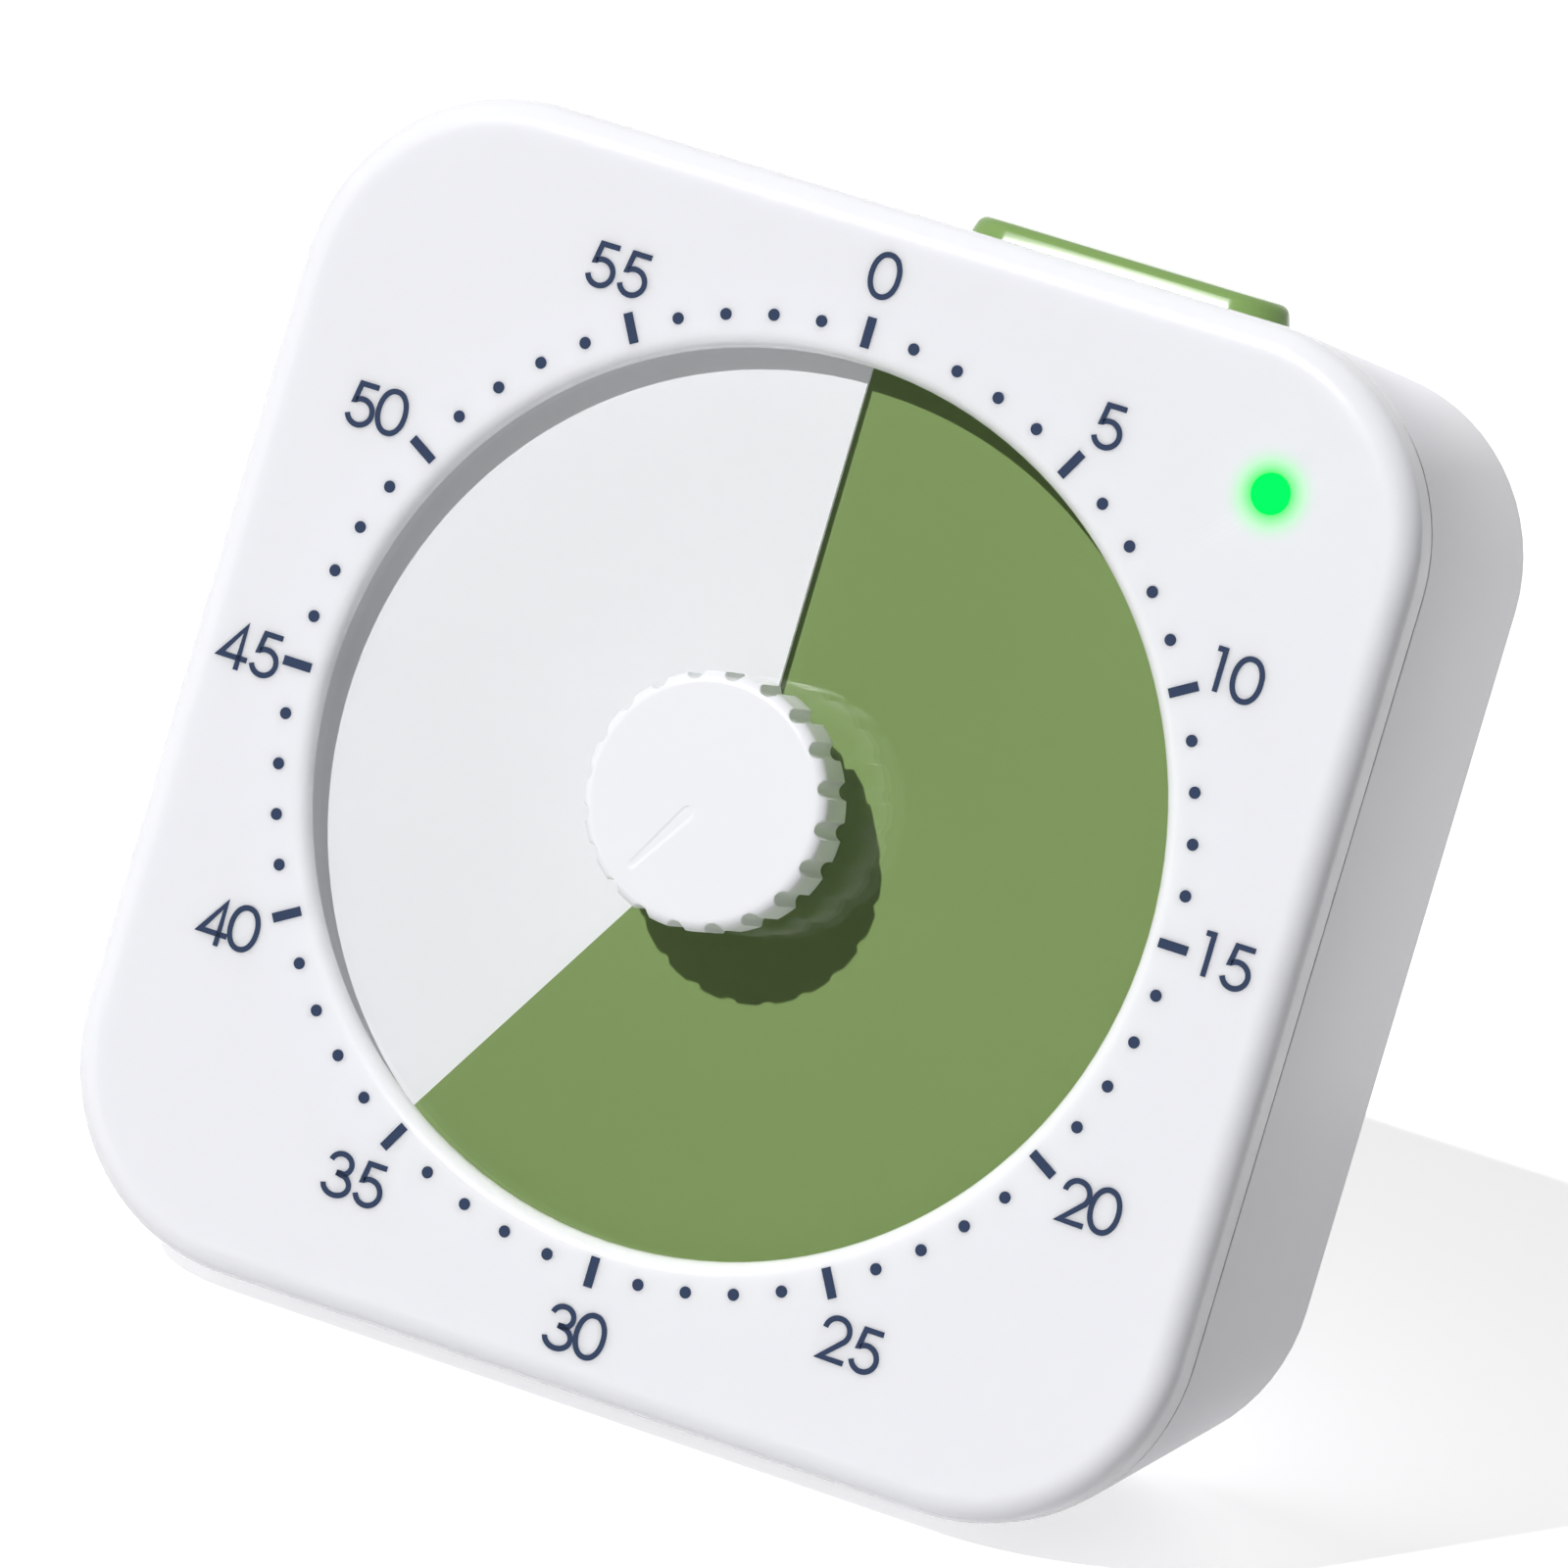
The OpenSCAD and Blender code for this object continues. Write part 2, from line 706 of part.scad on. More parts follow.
module dial_sheet() {
    color("white") in_row_frame()
        spiral_sheet(sheet_inner_r, sheet_r, 0, sheet_depth + pitch, sheet_t);
}

module cup_screws() {
    color("silver") in_row_frame() for (a = ear_angles)
        small_screw(clock(ear_ring_r, a), ear_depth + ear_t, cup_screw_l);
}

module colour_disc() {
    inner = (hub_r + 0.02) / cos(full_turn / spiral_steps / 2);
    color("olivedrab") in_row_frame() spiral_sheet(inner, disc_r, set_angle - full_turn,
        disc_mid_depth + pitch * (full_turn - set_angle) / full_turn, disc_t);
}

disc_front = disc_mid_depth - pitch * set_angle / full_turn;
hub_front = disc_front - hub_front_rise;
hub_l = pitch + disc_t + 2 * hub_front_rise;

module disc_hub() {
    color("gainsboro") in_row_frame() plate(hub_front, hub_l) difference() {
        circle(r = hub_r);
        circle(r = spindle_r + run_gap);
        translate([0, (key_r + seat_gap) / 2])
            square([key_w + 2 * seat_gap, key_r + seat_gap], center = true);
    }
}

// ---- knob and spindle ----------------------------------------------------------------------

module knob() {
    back = knob_lift;
    front = knob_lift + knob_h;
    steps = 6;
    end_steps = 8;
    color("white") in_row_frame() difference() {
        union() {
            difference() {
                rotate_extrude($fn = 96) polygon(concat(
                    [[0, back], [knob_r, back]],
                    [for (i = [0:steps]) [knob_r - knob_edge_r, front - knob_edge_r]
                        + polar(knob_edge_r, 90 * i / steps)],
                    [[0, front]]));
                translate([0, 0, back - over])
                    cylinder(h = knob_h - knob_wall + over, r = flute_bottom_r - knob_wall);
            }
            translate([0, 0, knob_hub_lift])
                cylinder(h = front - knob_wall + 0.2 - knob_hub_lift, r = knob_hub_r);
        }
        for (i = [0:flutes - 1])
            rotate([0, 0, -set_angle + full_turn * i / flutes])
                translate([0, knob_r + flute_out, back - over])
                    cylinder(h = knob_h + 2 * over, r = flute_r, $fn = 24);
        translate([0, 0, knob_hub_lift - over])
            cylinder(h = spindle_front + 0.1 - knob_hub_lift + over, r = spindle_r + 0.02);
        rotate([0, 0, -set_angle]) translate([0, 0, front - pointer_t]) linear_extrude(over + pointer_t)
            polygon(concat(
                [for (i = [0:end_steps]) [0, pointer_inner_r]
                    + polar(pointer_inner_w / 2, 180 + 180 * i / end_steps)],
                [for (i = [0:end_steps]) [0, pointer_outer_r]
                    + polar(pointer_outer_w / 2, 180 * i / end_steps)]));
    }
}

module spindle() {
    color("lightgray") in_row_frame() union() {
        peg([0, 0], -spindle_front, spindle_front + train_back - 0.2, spindle_r);
        peg([0, 0], train_back - 0.2 - over, movement_back + 1.4 - train_back + 0.2 + over, tip_r);
        peg([0, 0], collar_depth, collar_t, collar_r);
        block([0, key_r / 2], key_front, [key_w, key_r, cup_floor_depth - 0.2 - key_front]);
    }
}

module minute_wheel() {
    color("goldenrod") in_row_frame() difference() {
        gear(minute_depth, wheel_t, minute_teeth, minute_phase);
        peg([0, 0], minute_depth - over, wheel_t + 2 * over, spindle_r + 0.02);
        for (i = [0:4])
            peg(polar(pitch_r(minute_teeth) * 0.6, 72 * i), minute_depth - over, wheel_t + 2 * over, 2.6);
    }
}

module clutch_spring() {
    color("lightsteelblue") in_row_frame() difference() {
        union() {
            plate(clutch_depth, clutch_t / 2) circle(r = spindle_r + 2.2);
            plate(clutch_depth, clutch_t) circle(r = spindle_r + 1.2);
        }
        peg([0, 0], clutch_depth - over, clutch_t + 2 * over, spindle_r + 0.02);
    }
}

module clip(depth, bore, outer) {
    plate(depth, clip_t) difference() {
        circle(r = outer);
        circle(r = bore + 0.02);
        translate([0, -outer]) square([bore * 1.2, 2 * outer], center = true);
    }
}

module spindle_clips() {
    color("dimgray") in_row_frame() {
        clip(clutch_depth + clutch_t + 0.05, spindle_r, clip_r);
        clip(movement_back + seat_gap, tip_r, clip_r - 1);
    }
}

// ---- movement ------------------------------------------------------------------------------

module arbor(place) {
    peg(place, train_front - bearing_depth + arbor_end_gap,
        train_back - train_front + 2 * bearing_depth - 2 * arbor_end_gap, arbor_r);
}

module wheel_and_pinion(place, pinion_depth, pinion_l, wheel_depth, phase) {
    arbor(place);
    at(place, 0) {
        gear(pinion_depth, pinion_l, pinion_teeth, phase);
        difference() {
            gear(wheel_depth, thin_wheel_t, wheel_teeth, phase);
            for (i = [0:3])
                peg(polar(pitch_r(wheel_teeth) * 0.6, 45 + 90 * i), wheel_depth - over,
                    thin_wheel_t + 2 * over, 2);
        }
    }
}

module third_wheel() {
    start = minute_depth - pinion_over;
    color("gold") in_row_frame()
        wheel_and_pinion(third_at, start, third_depth - start, third_depth, third_pinion_phase);
}

module fourth_wheel() {
    start = third_depth - pinion_over;
    color("khaki") in_row_frame()
        wheel_and_pinion(fourth_at, start, fourth_depth - start, fourth_depth, fourth_pinion_phase);
}

module step_rotor() {
    start = fourth_depth - pinion_over;
    color("slategray") in_row_frame() {
        arbor(rotor_at);
        at(rotor_at, 0) gear(start, magnet_depth - start, pinion_teeth, rotor_pinion_phase);
        peg(rotor_at, magnet_depth, magnet_t, magnet_r);
    }
}

module bearing_bores(depth, length) {
    for (p = [third_at, fourth_at, rotor_at]) peg(p, depth, length, arbor_r + run_gap);
}

module movement_outline(inset) {
    mid = [(movement_left + movement_right) / 2, (movement_top + movement_bottom) / 2];
    translate(mid) polygon(rounded_outline(movement_right - mid[0] - inset,
        movement_top - mid[1] - inset, 3 - inset));
}

module movement_base() {
    color("ivory") in_row_frame() difference() {
        union() {
            plate(cup_back, train_back - cup_back) movement_outline(0);
            for (p = lug_at) peg(p, cup_back + lug_l, plate_t, lug_r);
            peg([0, 0], cup_floor_depth + run_gap, plate_t, bushing_r);
        }
        difference() {
            plate(train_front, train_back - train_front + over) movement_outline(movement_wall);
            for (p = stator_post_at) {
                peg(p, train_front - over, stator_depth - train_front + over, stator_post_r);
                peg(p, train_front, stator_depth + stator_t + 0.6 - train_front, stator_pin_r);
            }
        }
        for (p = lug_at) {
            peg(p, cup_back - over, lug_l + over, lug_r + seat_gap);
            peg(p, cup_back, lug_l + plate_t + 1, small_pilot_r + 0.2);
            peg(p, cup_back + lug_l + plate_t, train_back, small_head_r + 0.6);
        }
        peg([0, 0], 0, train_front + over, spindle_r + run_gap);
        bearing_bores(train_front - bearing_depth, bearing_depth + over);
    }
}

module movement_cover() {
    color("linen") in_row_frame() difference() {
        union() {
            plate(train_back, movement_wall) movement_outline(0);
            plate(train_back - 1, 1) difference() {
                movement_outline(movement_wall + seat_gap);
                movement_outline(movement_wall + seat_gap + 0.8);
            }
            for (p = [third_at, fourth_at, rotor_at])
                peg(p, train_back, movement_wall + 0.6, arbor_r + 1.2);
        }
        peg([0, 0], train_back - over, movement_wall + 2 * over, tip_r + run_gap);
        bearing_bores(train_back - over, bearing_depth + over);
        for (p = lug_at) peg(p, train_back - 2, movement_wall + 3, small_head_r + 0.6);
    }
}

module movement_screws() {
    color("silver") in_row_frame() for (p = lug_at)
        small_screw(p, cup_back + lug_l + plate_t, movement_screw_l);
}

stator_mid_x = coil_at[0];
stator_arm_bottom = coil_at[1] - core_half_h;

module stator() {
    color("silver") in_row_frame() plate(stator_depth, stator_t) difference() {
        union() {
            translate([stator_mid_x - core_half_l, rotor_at[1] - stator_half_h])
                square([rotor_at[0] + 7 - stator_mid_x + core_half_l, 2 * stator_half_h]);
            for (x = [stator_mid_x - core_half_l, stator_mid_x + core_half_l - leg_w])
                translate([x, coil_at[1] + core_half_h + 0.02])
                    square([leg_w, rotor_at[1] - coil_at[1] - core_half_h]);
        }
        translate(rotor_at) circle(r = magnet_r + 0.4);
        for (p = stator_post_at) translate(p) circle(r = stator_pin_r + run_gap);
    }
}

module coil_core() {
    color("darkgray") in_row_frame() difference() {
        block(coil_at, stator_depth, [2 * core_half_l, 2 * core_half_h, stator_t]);
        for (p = stator_post_at) peg(p, stator_depth - over, stator_t + 2 * over, stator_pin_r + run_gap);
    }
}

module along_coil(length, radius) {
    at(coil_at, coil_mid_depth) rotate([0, 90, 0])
        cylinder(h = length, r = radius, center = true);
}

bobbin_r = 2.2;
flange_coil_t = 0.8;

module coil_bobbin() {
    color("black") in_row_frame() difference() {
        union() {
            along_coil(coil_l, bobbin_r);
            for (side = [-1, 1]) translate([side * (coil_l - flange_coil_t) / 2, 0, 0])
                along_coil(flange_coil_t, coil_r);
        }
        block(coil_at, stator_depth - run_gap,
            [coil_l + 2 * over, 2 * (core_half_h + run_gap), stator_t + 2 * run_gap]);
    }
}

module coil_winding() {
    color("chocolate") in_row_frame() difference() {
        along_coil(coil_l - 2 * flange_coil_t - seat_gap, coil_r - 0.4);
        along_coil(coil_l + over, bobbin_r + 0.02);
    }
}

// ---- rear housing --------------------------------------------------------------------------

module housing_outer() {
    steps = 4;
    hull() {
        corner_pucks(housing_front + 0.01, 0, 0.01);
        for (i = [0:steps])
            corner_pucks(case_depth - rear_edge_r * (1 - sin(90 * i / steps)),
                rear_edge_r * (1 - cos(90 * i / steps)), 0.01);
    }
}

module housing_inner() {
    hull() {
        corner_pucks(housing_front, wall, over);
        corner_pucks(back_wall, wall, 0.01);
    }
}

module lip() {
    lip_half = cavity_half - 0.2;
    lip_corner = corner_r - wall - 0.2;
    plate(housing_front - lip_reach - parting_gap, lip_reach + parting_gap + lip_root) difference() {
        polygon(rounded_outline(lip_half, lip_half, lip_corner));
        polygon(rounded_outline(lip_half - lip_t, lip_half - lip_t, lip_corner - lip_t));
    }
    plate(housing_front + 0.6, lip_root - 0.6) difference() {
        polygon(rounded_outline(lip_half + 0.8, lip_half + 0.8, lip_corner + 0.8));
        polygon(rounded_outline(lip_half - lip_t, lip_half - lip_t, lip_corner - lip_t));
    }
}

// Cutter or solid that runs along the button's travel, from one height to another
module button_column(length, width, low, high) {
    translate([button_x, high, -button_depth]) rotate([90, 0, 0])
        linear_extrude(high - low) slot_outline(length, width);
}

module upright_peg(x, low, high, radius) {
    translate([x, high, -button_depth]) rotate([90, 0, 0]) cylinder(h = high - low, r = radius);
}

bay_at = [0, -bay_drop];
tab_notch_w = tab_w + 2 * slide_gap;

module bay_box() {
    block(bay_at, bay_floor - bay_floor_t,
        [2 * door_half_l, 2 * door_half_h, bay_rim - bay_floor + bay_floor_t]);
}

module housing_adds() {
    for (p = case_screw_at) peg(p, tube_front, back_wall + over - tube_front, tube_r);
    for (p = board_post_at) peg(p, main_board_back, back_wall + over - main_board_back, 3);
    for (side = [-1, 1])
        upright_peg(button_x + side * post_dx, switch_board_top, top_y_at(button_depth) - wall + 1, post_r);
    bay_box();
    lip();
}

module housing_cuts() {
    for (p = case_screw_at) {
        peg(p, tube_front - over, case_depth, clear_r);
        peg(p, screw_seat, case_depth, tunnel_r);
    }
    for (p = board_post_at) peg(p, main_board_back - over, 6, small_pilot_r);
    for (side = [-1, 1])
        upright_peg(button_x + side * post_dx, switch_board_top - over, switch_board_top + 6, small_pilot_r);
    button_column(button_l + 2 * slide_gap, button_w + 2 * slide_gap, flange_top, button_top);
    block(bay_at, bay_floor, [2 * bay_half_l, 2 * bay_half_h, case_depth]);
    block(bay_at, bay_rim, [2 * (door_half_l + door_gap), 2 * (door_half_h + door_gap), case_depth]);
    for (side = [-1, 1])
        block([-bay_half_l - bay_wall / 2, bay_at[1] + side * cell_dy],
            cell_depth - plate_thin / 2 - seat_gap,
            [bay_wall + 2 * over, tail_w + 2 * seat_gap, plate_thin + 2 * seat_gap]);
    for (side = [-1, 1]) {
        block([side * tab_x, bay_at[1] - door_half_h], bay_rim - 4,
            [tab_notch_w, 2 * bay_wall + 1, 4 + over]);
        block([side * tab_x, bay_at[1] - door_half_h - tab_drop / 2], back_wall - over,
            [tab_notch_w, tab_drop + 1, bay_rim - back_wall + over]);
    }
    block([slider_at[0], slider_at[1]], back_wall - over,
        [slider_stem_w + slider_travel + 2 * slide_gap, slider_stem_w + 2 * slide_gap, wall + 2 * over]);
    block([slider_at[0], slider_at[1]], case_depth - 0.6,
        [slider_w + slider_travel + 2 * slide_gap, slider_h + 2 * slide_gap, 0.6 + over]);
    for (i = [0:6])
        peg(buzzer_at + (i == 0 ? [0, 0] : polar(sound_ring_r, 60 * i)), back_wall - over,
            wall + 2 * over, sound_hole_r);
}

module rear_housing() {
    color("white") difference() {
        in_row_frame() difference() {
            union() {
                difference() {
                    housing_outer();
                    housing_inner();
                }
                housing_adds();
            }
            housing_cuts();
        }
        translate([0, 0, pad_proud - over]) linear_extrude(pad_t + seat_gap - pad_proud + over)
            polygon(rounded_outline(pad_w / 2 + seat_gap, pad_d / 2 + seat_gap, 4));
    }
}

module base_pad() {
    color("dimgray") linear_extrude(pad_t) polygon(rounded_outline(pad_w / 2, pad_d / 2, 4));
}

module case_screws() {
    color("silver") in_row_frame() for (p = case_screw_at)
        screw(p, screw_seat + 0.02, screw_reach, shank_r, head_r, head_t);
}

// ---- top button ----------------------------------------------------------------------------

module button_cap() {
    steps = 5;
    r = button_w / 2;
    hull() for (side = [-1, 1])
        translate([button_x + side * (button_l / 2 - r), 0, -button_depth]) rotate([-90, 0, 0])
            rotate_extrude($fn = 48) polygon(concat(
                [[0, flange_bottom + 0.3], [r, flange_bottom + 0.3]],
                [for (i = [0:steps]) [r - button_edge_r, button_top - button_edge_r]
                    + polar(button_edge_r, 90 * i / steps)],
                [[0, button_top]]));
}

module top_button() {
    color("yellowgreen") in_row_frame() union() {
        button_cap();
        button_column(button_l + 2 * flange_over, button_w + 2 * flange_over, flange_bottom, flange_top);
        upright_peg(button_x, stem_bottom, flange_bottom + 0.3, stem_r);
    }
}

module button_springs() {
    color("silver") in_row_frame() for (side = [-1, 1])
        translate([button_x + side * button_spring_dx, switch_board_top + seat_gap / 2, -button_depth])
            rotate([-90, 0, 0]) coil_spring(button_spring_r, spring_h, 4, button_wire_r);
}

module switch_board() {
    color("seagreen") in_row_frame() difference() {
        translate([button_x - switch_board_l / 2, switch_board_top - board_t,
            -button_depth - switch_board_w / 2]) cube([switch_board_l, board_t, switch_board_w]);
        for (side = [-1, 1])
            upright_peg(button_x + side * post_dx, switch_board_top - board_t - over,
                switch_board_top + over, small_pilot_r + 0.2);
    }
}

module tact_switch() {
    color("dimgray") in_row_frame() difference() {
        translate([button_x - switch_body_w / 2, switch_board_top, -button_depth - switch_body_w / 2])
            cube([switch_body_w, switch_body_t, switch_body_w]);
        upright_peg(button_x, switch_board_top + switch_body_t - 1.5, switch_board_top + switch_body_t + over,
            plunger_r + run_gap);
    }
}

module switch_plunger() {
    color("black") in_row_frame()
        upright_peg(button_x, switch_board_top + switch_body_t - 1, plunger_top, plunger_r);
}

module switch_screws() {
    color("silver") in_row_frame() for (side = [-1, 1])
        translate([button_x + side * post_dx, 0, -button_depth]) rotate([-90, 0, 0])
            small_screw([0, 0], -(switch_board_top - board_t), board_t + small_screw_over);
}

// ---- battery bay ---------------------------------------------------------------------------

module battery_door() {
    door_edge = bay_at[1] - door_half_h;
    color("white") in_row_frame() difference() {
        union() {
            block(bay_at, case_depth - door_t, [2 * door_half_l, 2 * door_half_h, door_t]);
            for (side = [-1, 1]) {
                block([side * tab_x, door_edge + 0.7], case_depth - door_t - tab_t - tab_gap,
                    [tab_w, 1.4, tab_t + tab_gap + over]);
                block([side * tab_x, door_edge + 0.7 - tab_drop / 2 - 0.7], back_wall - tab_t - tab_gap,
                    [tab_w, tab_drop + 1.4, tab_t]);
            }
        }
        translate([0, bay_at[1] + door_half_h - grip_h, -case_depth]) rotate([0, 90, 0])
            cylinder(h = grip_w, r = 1.2, center = true);
        for (side = [-1, 1])
            block([side * (grip_w / 2 + 1), bay_at[1] + door_half_h - grip_h / 2 - 1],
                case_depth - door_t - over, [0.8, grip_h + 4, door_t + 2 * over]);
    }
}

module battery_cells() {
    color("darkorange") in_row_frame() for (side = [-1, 1])
        at([side * (contact_spring_l - nub_h) / 2, bay_at[1] + side * cell_dy], cell_depth)
            rotate([0, side * 90, 0]) {
                translate([0, 0, -cell_l / 2]) cylinder(h = cell_l, r = cell_r);
                translate([0, 0, cell_l / 2 - over]) cylinder(h = nub_h + over, r = nub_r);
            }
}

// The spring end of a cell's row: side is +1 for the upper cell, whose spring is on the left
module contact_springs() {
    color("silver") in_row_frame() for (side = [-1, 1])
        at([-side * (bay_half_l - plate_thin - 0.2), bay_at[1] + side * cell_dy], cell_depth)
            rotate([0, side * 90, 0])
                coil_spring(contact_spring_r, contact_spring_l - 0.2, 3, contact_wire_r);
}

module contact_plates() {
    x = bay_half_l - plate_thin / 2 - 0.05;
    color("lightgray") in_row_frame() {
        block([x, bay_at[1]], cell_depth - contact_w / 2, [plate_thin, 2 * cell_dy + contact_w, contact_w]);
        for (side = [-1, 1])
            union() {
                block([-x, bay_at[1] + side * cell_dy], cell_depth - contact_w / 2,
                    [plate_thin, contact_w, contact_w]);
                block([-bay_half_l - (bay_wall + tail_l) / 2 + plate_thin / 2, bay_at[1] + side * cell_dy],
                    cell_depth - plate_thin / 2, [bay_wall + tail_l + plate_thin, tail_w, plate_thin]);
            }
    }
}

// ---- electronics ---------------------------------------------------------------------------

module main_board() {
    mid_y = (main_board_bottom + main_board_top) / 2;
    color("seagreen") in_row_frame() plate(main_board_depth, board_t) difference() {
        translate([0, mid_y])
            polygon(rounded_outline(main_board_half_l, (main_board_top - main_board_bottom) / 2, 2));
        for (p = board_post_at) translate(p) circle(r = small_pilot_r + 0.2);
    }
}

module board_components() {
    color("black") in_row_frame() {
        block(chip_at, main_board_depth - chip_t, [chip_w, chip_w, chip_t]);
        block(chip_at + [part_step, 0], main_board_depth - chip_t, [0.6 * chip_w, 0.4 * chip_w, chip_t]);
        for (i = [-1.5:1.5])
            block(chip_at + [-chip_w, i * chip_w / 3], main_board_depth - chip_t / 2,
                [chip_w / 4, chip_w / 7, chip_t / 2]);
        for (x = [part_step, 1.5 * part_step])
            peg(chip_at + [x, -chip_w - capacitor_r / 2], main_board_depth - capacitor_h,
                capacitor_h, capacitor_r);
    }
}

module buzzer() {
    color("black") in_row_frame() difference() {
        peg(buzzer_at, main_board_back, buzzer_t, buzzer_r);
        peg(buzzer_at, main_board_back + buzzer_t - 1, 1 + over, 1.2);
    }
}

module volume_switch() {
    color("silver") in_row_frame() difference() {
        block(slider_at, main_board_back, [volume_body_w, volume_body_h, volume_body_t]);
        block(slider_at, volume_body_back - 1.4,
            [slider_stem_w + slider_travel + 2 * slide_gap, slider_stem_w + 2 * slide_gap, 1.4 + over]);
    }
}

module volume_slider() {
    start = slider_at - [slider_travel / 2, 0];
    color("dimgray") in_row_frame() union() {
        block(start, volume_body_back - 1.1,
            [slider_stem_w, slider_stem_w, case_depth - volume_body_back + 1.1]);
        block(start, case_depth - 0.5, [slider_w, slider_h, slider_proud + 0.5]);
        for (i = [-1:1]) block(start + [i * 1.6, 0], case_depth + slider_proud - 0.2, [0.7, slider_h, 0.6]);
    }
}

module board_screws() {
    color("silver") in_row_frame() for (p = board_post_at)
        translate([p[0], p[1], -main_board_depth]) rotate([180, 0, 0])
            small_screw([0, 0], 0, board_t + small_screw_over);
}

// ---- leads ---------------------------------------------------------------------------------

// Each pair starts beside its part and ends on the main board, its stations given as shares of the
// way between the two ends
lead_dx = 1;
lead_gap = 0.4;
lead_run = 6;
board_land = -main_board_depth + wire_r + seat_gap;

module lead_between(start, finish, shares) {
    lead(concat([start],
        [for (f = shares) [for (i = [0:2]) start[i] + (finish[i] - start[i]) * f[i]]],
        [finish]));
}

module battery_leads() {
    x = -bay_half_l - bay_wall - tail_l - wire_r;
    color("crimson") in_row_frame() for (side = [-1, 1])
        lead_between([x, bay_at[1] + side * cell_dy, -cell_depth],
            [x - lead_run + side * lead_dx, main_board_bottom + 2 * lead_run, board_land],
            [[0.83, 0.17, 0.4], [1.33, 0.46, 1.2], [1.17, 0.7, 1.35]]);
}

module motor_leads() {
    color("royalblue") in_row_frame() for (side = [-lead_dx, lead_dx])
        lead_between([0.47 * movement_right + side, -0.32 * movement_top, -movement_back - wire_r - seat_gap],
            [0.67 * movement_right + side, 0.43 * movement_top, board_land],
            [[0.2, 0.28, 0.16], [0.6, 0.64, 0.23]]);
}

module switch_leads() {
    x = button_x + 0.3 * button_l;
    color("gold") in_row_frame() for (side = [-lead_dx, lead_dx])
        lead_between([x + side, switch_board_top - board_t - lead_gap, -button_depth - switch_board_w / 6],
            [x + side + lead_run / 3, main_board_top - 1.5 * lead_run, board_land],
            [[0, 0.38, 0.22], [1, 0.63, 0.6]]);
}

module light_leads() {
    color("limegreen") in_row_frame() for (side = [-lead_dx, lead_dx])
        lead_between([light_x - light_r + side, light_y - 1.6 * light_r,
                -led_board_depth - board_t - lead_gap],
            [main_board_half_l - lead_run + side, main_board_top - 3 * lead_run, board_land],
            [[0.25, 0.18, 0.2], [0.62, 0.45, 0.5], [0.9, 0.72, 0.76]]);
}

front_cover();
lens();
light_pipe();
status_led();
led_board();
dial_cup();
dial_sheet();
cup_screws();
colour_disc();
disc_hub();
knob();
spindle();
minute_wheel();
clutch_spring();
spindle_clips();
third_wheel();
fourth_wheel();
step_rotor();
movement_base();
movement_cover();
movement_screws();
stator();
coil_core();
coil_bobbin();
coil_winding();
rear_housing();
base_pad();
case_screws();
top_button();
button_springs();
switch_board();
tact_switch();
switch_plunger();
switch_screws();
battery_door();
battery_cells();
contact_springs();
contact_plates();
main_board();
board_components();
buzzer();
volume_switch();
volume_slider();
board_screws();
battery_leads();
motor_leads();
switch_leads();
light_leads();
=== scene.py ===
"""Dresses the visual countdown timer: every piece gets its finish, and the pieces that need a finer
form than the construction model gives are built here around it."""

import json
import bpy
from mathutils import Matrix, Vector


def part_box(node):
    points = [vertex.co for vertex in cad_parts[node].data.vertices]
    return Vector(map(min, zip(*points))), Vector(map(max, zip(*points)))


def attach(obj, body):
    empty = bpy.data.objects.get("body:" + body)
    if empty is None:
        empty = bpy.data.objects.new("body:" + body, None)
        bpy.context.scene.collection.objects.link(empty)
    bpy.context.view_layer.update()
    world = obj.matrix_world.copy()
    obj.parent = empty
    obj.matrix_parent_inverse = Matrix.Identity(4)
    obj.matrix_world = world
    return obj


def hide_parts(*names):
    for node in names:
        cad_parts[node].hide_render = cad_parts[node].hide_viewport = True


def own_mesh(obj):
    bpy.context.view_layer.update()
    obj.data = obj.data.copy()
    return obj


bl_info = {
    "name": "Visual Countdown Timer",
    "version": (1, 0, 0),
    "blender": (4, 5, 0),
    "location": "View3D > Sidebar > Timer",
    "description": "Builds and finishes the pieces of a sixty-minute visual countdown timer",
    "category": "Object",
}

from math import copysign, cos, dist, hypot, pi, radians, sin, sqrt, tan

import bmesh
import bpy
import numpy as np
from bpy.props import FloatProperty, FloatVectorProperty, IntProperty, PointerProperty
from mathutils import Matrix, Vector

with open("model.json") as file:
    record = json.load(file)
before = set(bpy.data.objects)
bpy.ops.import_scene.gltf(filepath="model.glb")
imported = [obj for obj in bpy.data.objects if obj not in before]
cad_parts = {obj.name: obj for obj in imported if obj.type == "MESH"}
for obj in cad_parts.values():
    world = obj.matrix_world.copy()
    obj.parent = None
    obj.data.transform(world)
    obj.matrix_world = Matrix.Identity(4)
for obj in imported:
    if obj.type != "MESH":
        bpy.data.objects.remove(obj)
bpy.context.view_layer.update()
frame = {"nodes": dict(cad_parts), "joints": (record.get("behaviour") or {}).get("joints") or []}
MM = 0.001
SAME_POINT = 1e-7

# ---- the face frame: x right, y up the face, z out of it, origin at the dial's centre ----


def joint_named(name):
    return next(j for j in frame["joints"] if j["name"] == name)


knob_joint = joint_named("knob_turn")
face_z = -Vector(knob_joint["axis"]).normalized()
face_x = Vector((1, 0, 0))
face_y = face_z.cross(face_x)
face_origin = Vector(knob_joint["pos_m"])
face_turn = Matrix((face_x, face_y, face_z)).transposed()
face_frame = Matrix.Translation(face_origin) @ face_turn.to_4x4()


def face_box(node):
    """Lowest and highest corners of a construction node, in the face frame."""
    back = face_frame.inverted()
    points = np.array([back @ v.co for v in frame["nodes"][node].data.vertices])
    return Vector(points.min(0)), Vector(points.max(0))


